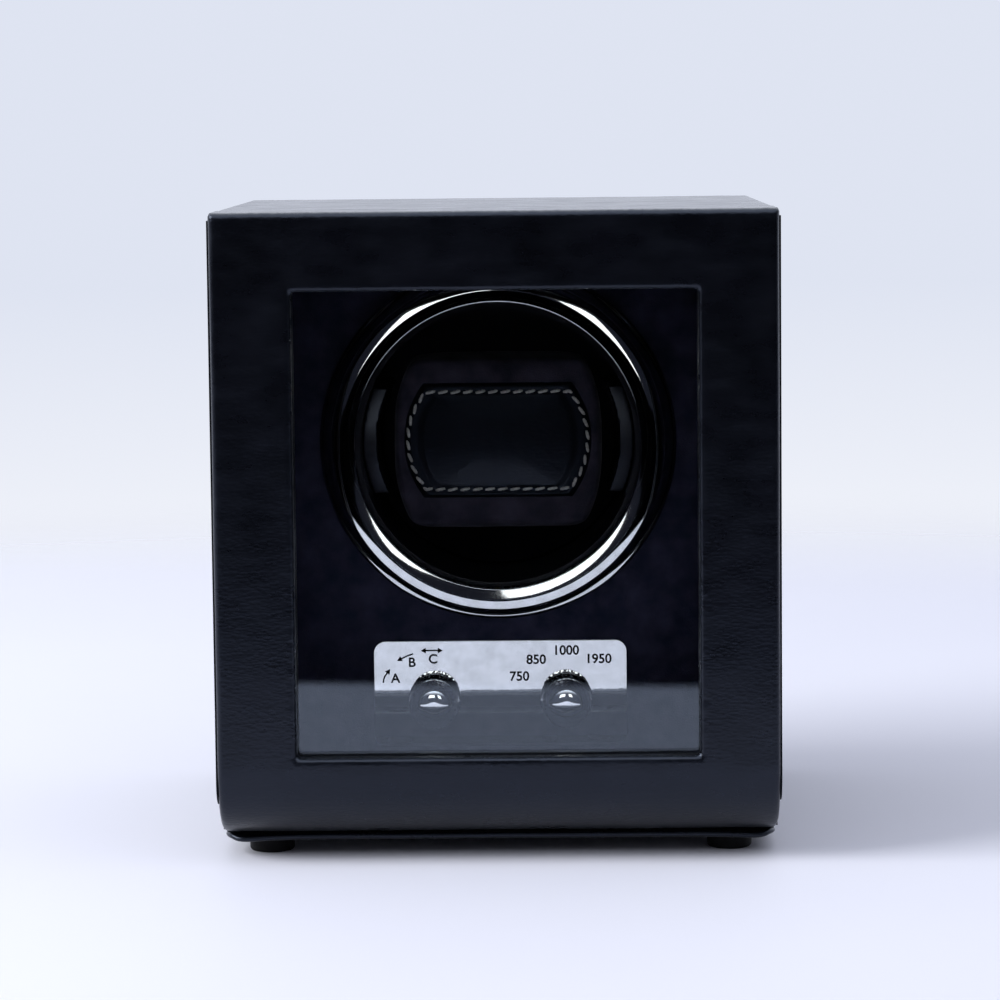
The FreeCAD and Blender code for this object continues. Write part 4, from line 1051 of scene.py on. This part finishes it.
def make_table():
    """A pale table that fades into the backdrop."""
    floor = finish("pale_table", (0.80, 0.815, 0.90), 0.7)
    vary_colour(floor, grain(floor, 3, 2), (0.79, 0.805, 0.89), (0.81, 0.825, 0.91))
    place = add(floor, "TexCoord").outputs["Object"]
    reach = add(floor, "VectorMath", {"operation": "LENGTH"}, Vector=place)
    fade = ramp(floor, reach.outputs["Value"], *TABLE_FADES, kind="SMOOTHERSTEP")
    clear = add(floor, "BsdfTransparent")
    mix_shaders(floor, fade, shader_of(floor).outputs["BSDF"], clear.outputs["BSDF"])
    return sheet_of("table", TABLE_HALF, TABLE_HALF, floor)


def make_reflection_shade_sheet():
    """A black sheet beyond the table, which only the polished faces mirror: a painted dark reflection of
    the unlit room in front.
    """
    dark = finish("dark_room", (0.0, 0.0, 0.0), 1.0, Specular_IOR_Level=0.0)
    across = add(dark, "SeparateXYZ", Vector=add(dark, "TexCoord").outputs["Object"])
    rim = ramp(dark, across.outputs["Y"], SHADE_SHEET_HALF - SHADE_SHEET_RIM, SHADE_SHEET_HALF, kind="SMOOTHSTEP")
    clear = add(dark, "BsdfTransparent")
    mix_shaders(dark, rim, shader_of(dark).outputs["BSDF"], clear.outputs["BSDF"])
    far = sheet_of("reflection_only_shade_sheet", 4.0, SHADE_SHEET_HALF, dark)
    far.rotation_euler.z = SHADE_SHEET_TURN
    toward_box = Vector((-math.sin(SHADE_SHEET_TURN), math.cos(SHADE_SHEET_TURN), 0))
    far.location = SHADE_SHEET_EDGE - toward_box * SHADE_SHEET_HALF
    # Hidden from the camera, diffuse light, shadows and transmission, so the sheet only paints dark
    # reflections.
    for name in ("visible_camera", "visible_diffuse", "visible_shadow", "visible_transmission"):
        setattr(far, name, False)
    return far


def make_stage():
    table = make_table()
    far = make_reflection_shade_sheet()


def make_world():
    """A pale backdrop, painted darker towards its top; polished faces see painted reflections instead of
    the fill light: a dark room in front, a pale one elsewhere and a bright one overhead.
    """
    world = bpy.data.worlds.new("studio")
    bpy.context.scene.world = world
    world.use_nodes = True
    world.node_tree.nodes.clear()
    way = add(world, "SeparateXYZ", Vector=add(world, "TexCoord").outputs["Generated"]).outputs
    rays = add(world, "LightPath").outputs
    sky = blend(world, ramp(world, way["Z"], 0.08, 0.95), (0.02, 0.02, 0.025, 1), (0.87, 0.89, 1.0, 1))
    lean = ramp(world, way["Y"], -0.7, 0.7, 1.45, 0.55)
    fill = add(world, "VectorMath", {"operation": "SCALE"}, Vector=sky, Scale=lean)
    # Glossy rays see painted reflections, not the fill light: painted dark in front, pale behind, painted
    # bright overhead.
    behind = ramp(world, way["Y"], -0.35, 0.35, kind="SMOOTHSTEP")
    painted_room_reflection = blend(world, behind, (0.012, 0.013, 0.02, 1), (1.05, 1.10, 1.26, 1))
    above = ramp(world, way["Z"], 0.28, 0.75, kind="SMOOTHSTEP")
    painted_reflections = blend(world, above, painted_room_reflection, (2.2, 2.3, 2.5, 1))
    # The backdrop the camera sees is painted shade: darker towards its top.
    height = ramp(world, way["Z"], -0.10, -0.045)
    backdrop = blend(world, height, (0.845, 0.87, 0.945, 1), (0.735, 0.775, 0.885, 1))
    lighting = blend(world, rays["Is Glossy Ray"], fill.outputs["Vector"], painted_reflections)
    seen = blend(world, rays["Is Camera Ray"], lighting, backdrop)
    back = add(world, "Background", Color=seen)
    add(world, "OutputWorld", Surface=back.outputs["Background"])


def soft_light(name, place, target, wide, tall, power, colour=(1, 1, 1)):
    """A rectangular soft light that faces its target."""
    data = bpy.data.lights.new(name, "AREA")
    data.shape = "RECTANGLE"
    data.size = wide
    data.size_y = tall
    data.energy = power
    data.color = colour
    item = bpy.data.objects.new(name, data)
    item.location = place
    item.rotation_euler = (Vector(target) - Vector(place)).to_track_quat("-Z", "Y").to_euler()
    bpy.context.scene.collection.objects.link(item)
    return item


CARD_REACH = 1.1
CARD_LIFT = math.radians(6.5)
CARD_TALL = 0.21


def make_lights():
    """A key from the upper left, and two soft cards that only the smooth fittings mirror."""
    soft_light("key_left", (-1.85, -0.75, 1.25), (0, 0, 0.05), 1.3, 1.3, 51, (0.99, 0.99, 1))
    polished = bpy.data.collections.new("polished")
    for item in bpy.context.scene.objects:
        if item.name.startswith(("chrome_ring", "cuff_holder_moulded")) or "knob" in item.name:
            polished.objects.link(item)
    centre = Vector((0, ring_low.y, drum_centre.z))
    for name, turn, wide, power in (("card_left", -6.75, 0.22, 0.32), ("card_right", 9, 0.135, 0.20)):
        turn = math.radians(turn)
        way = Vector((math.sin(turn) * math.cos(CARD_LIFT), -math.cos(turn) * math.cos(CARD_LIFT),
                      math.sin(CARD_LIFT)))
        card = soft_light(name, centre + way * CARD_REACH, centre, wide, CARD_TALL, power)
        card.visible_camera = False
        card.visible_diffuse = False
        card.visible_transmission = False
        card.light_linking.receiver_collection = polished


def make_camera():
    data = bpy.data.cameras.new("camera")
    data.sensor_width = 36
    data.lens = 135.4
    item = bpy.data.objects.new("camera", data)
    bpy.context.scene.collection.objects.link(item)
    pitch = math.radians(90 - 5.85)
    yaw = math.radians(0.683)
    roll = math.radians(-0.582)
    turn = Matrix.Rotation(yaw, 4, "Z") @ Matrix.Rotation(pitch, 4, "X") @ Matrix.Rotation(roll, 4, "Z")
    item.matrix_world = Matrix.Translation((0.0153, -1.2662, 0.2377)) @ turn
    bpy.context.scene.camera = item


def main():
    bpy.context.scene.view_settings.view_transform = "Standard"
    make_camera()
    dress_nodes()
    make_door()
    make_case()
    make_base()
    make_ring()
    make_plate()
    make_markings()
    make_knobs()
    make_holder()
    cuff = make_cuff()
    bpy.context.view_layer.update()
    patch, patch_size = make_patch(front_of(cuff))
    bpy.context.view_layer.update()
    make_stitches(front_of(patch), patch_size)
    make_feet()
    make_cover_screws()
    make_stage()
    make_world()
    make_lights()


main()

bpy.context.view_layer.update()
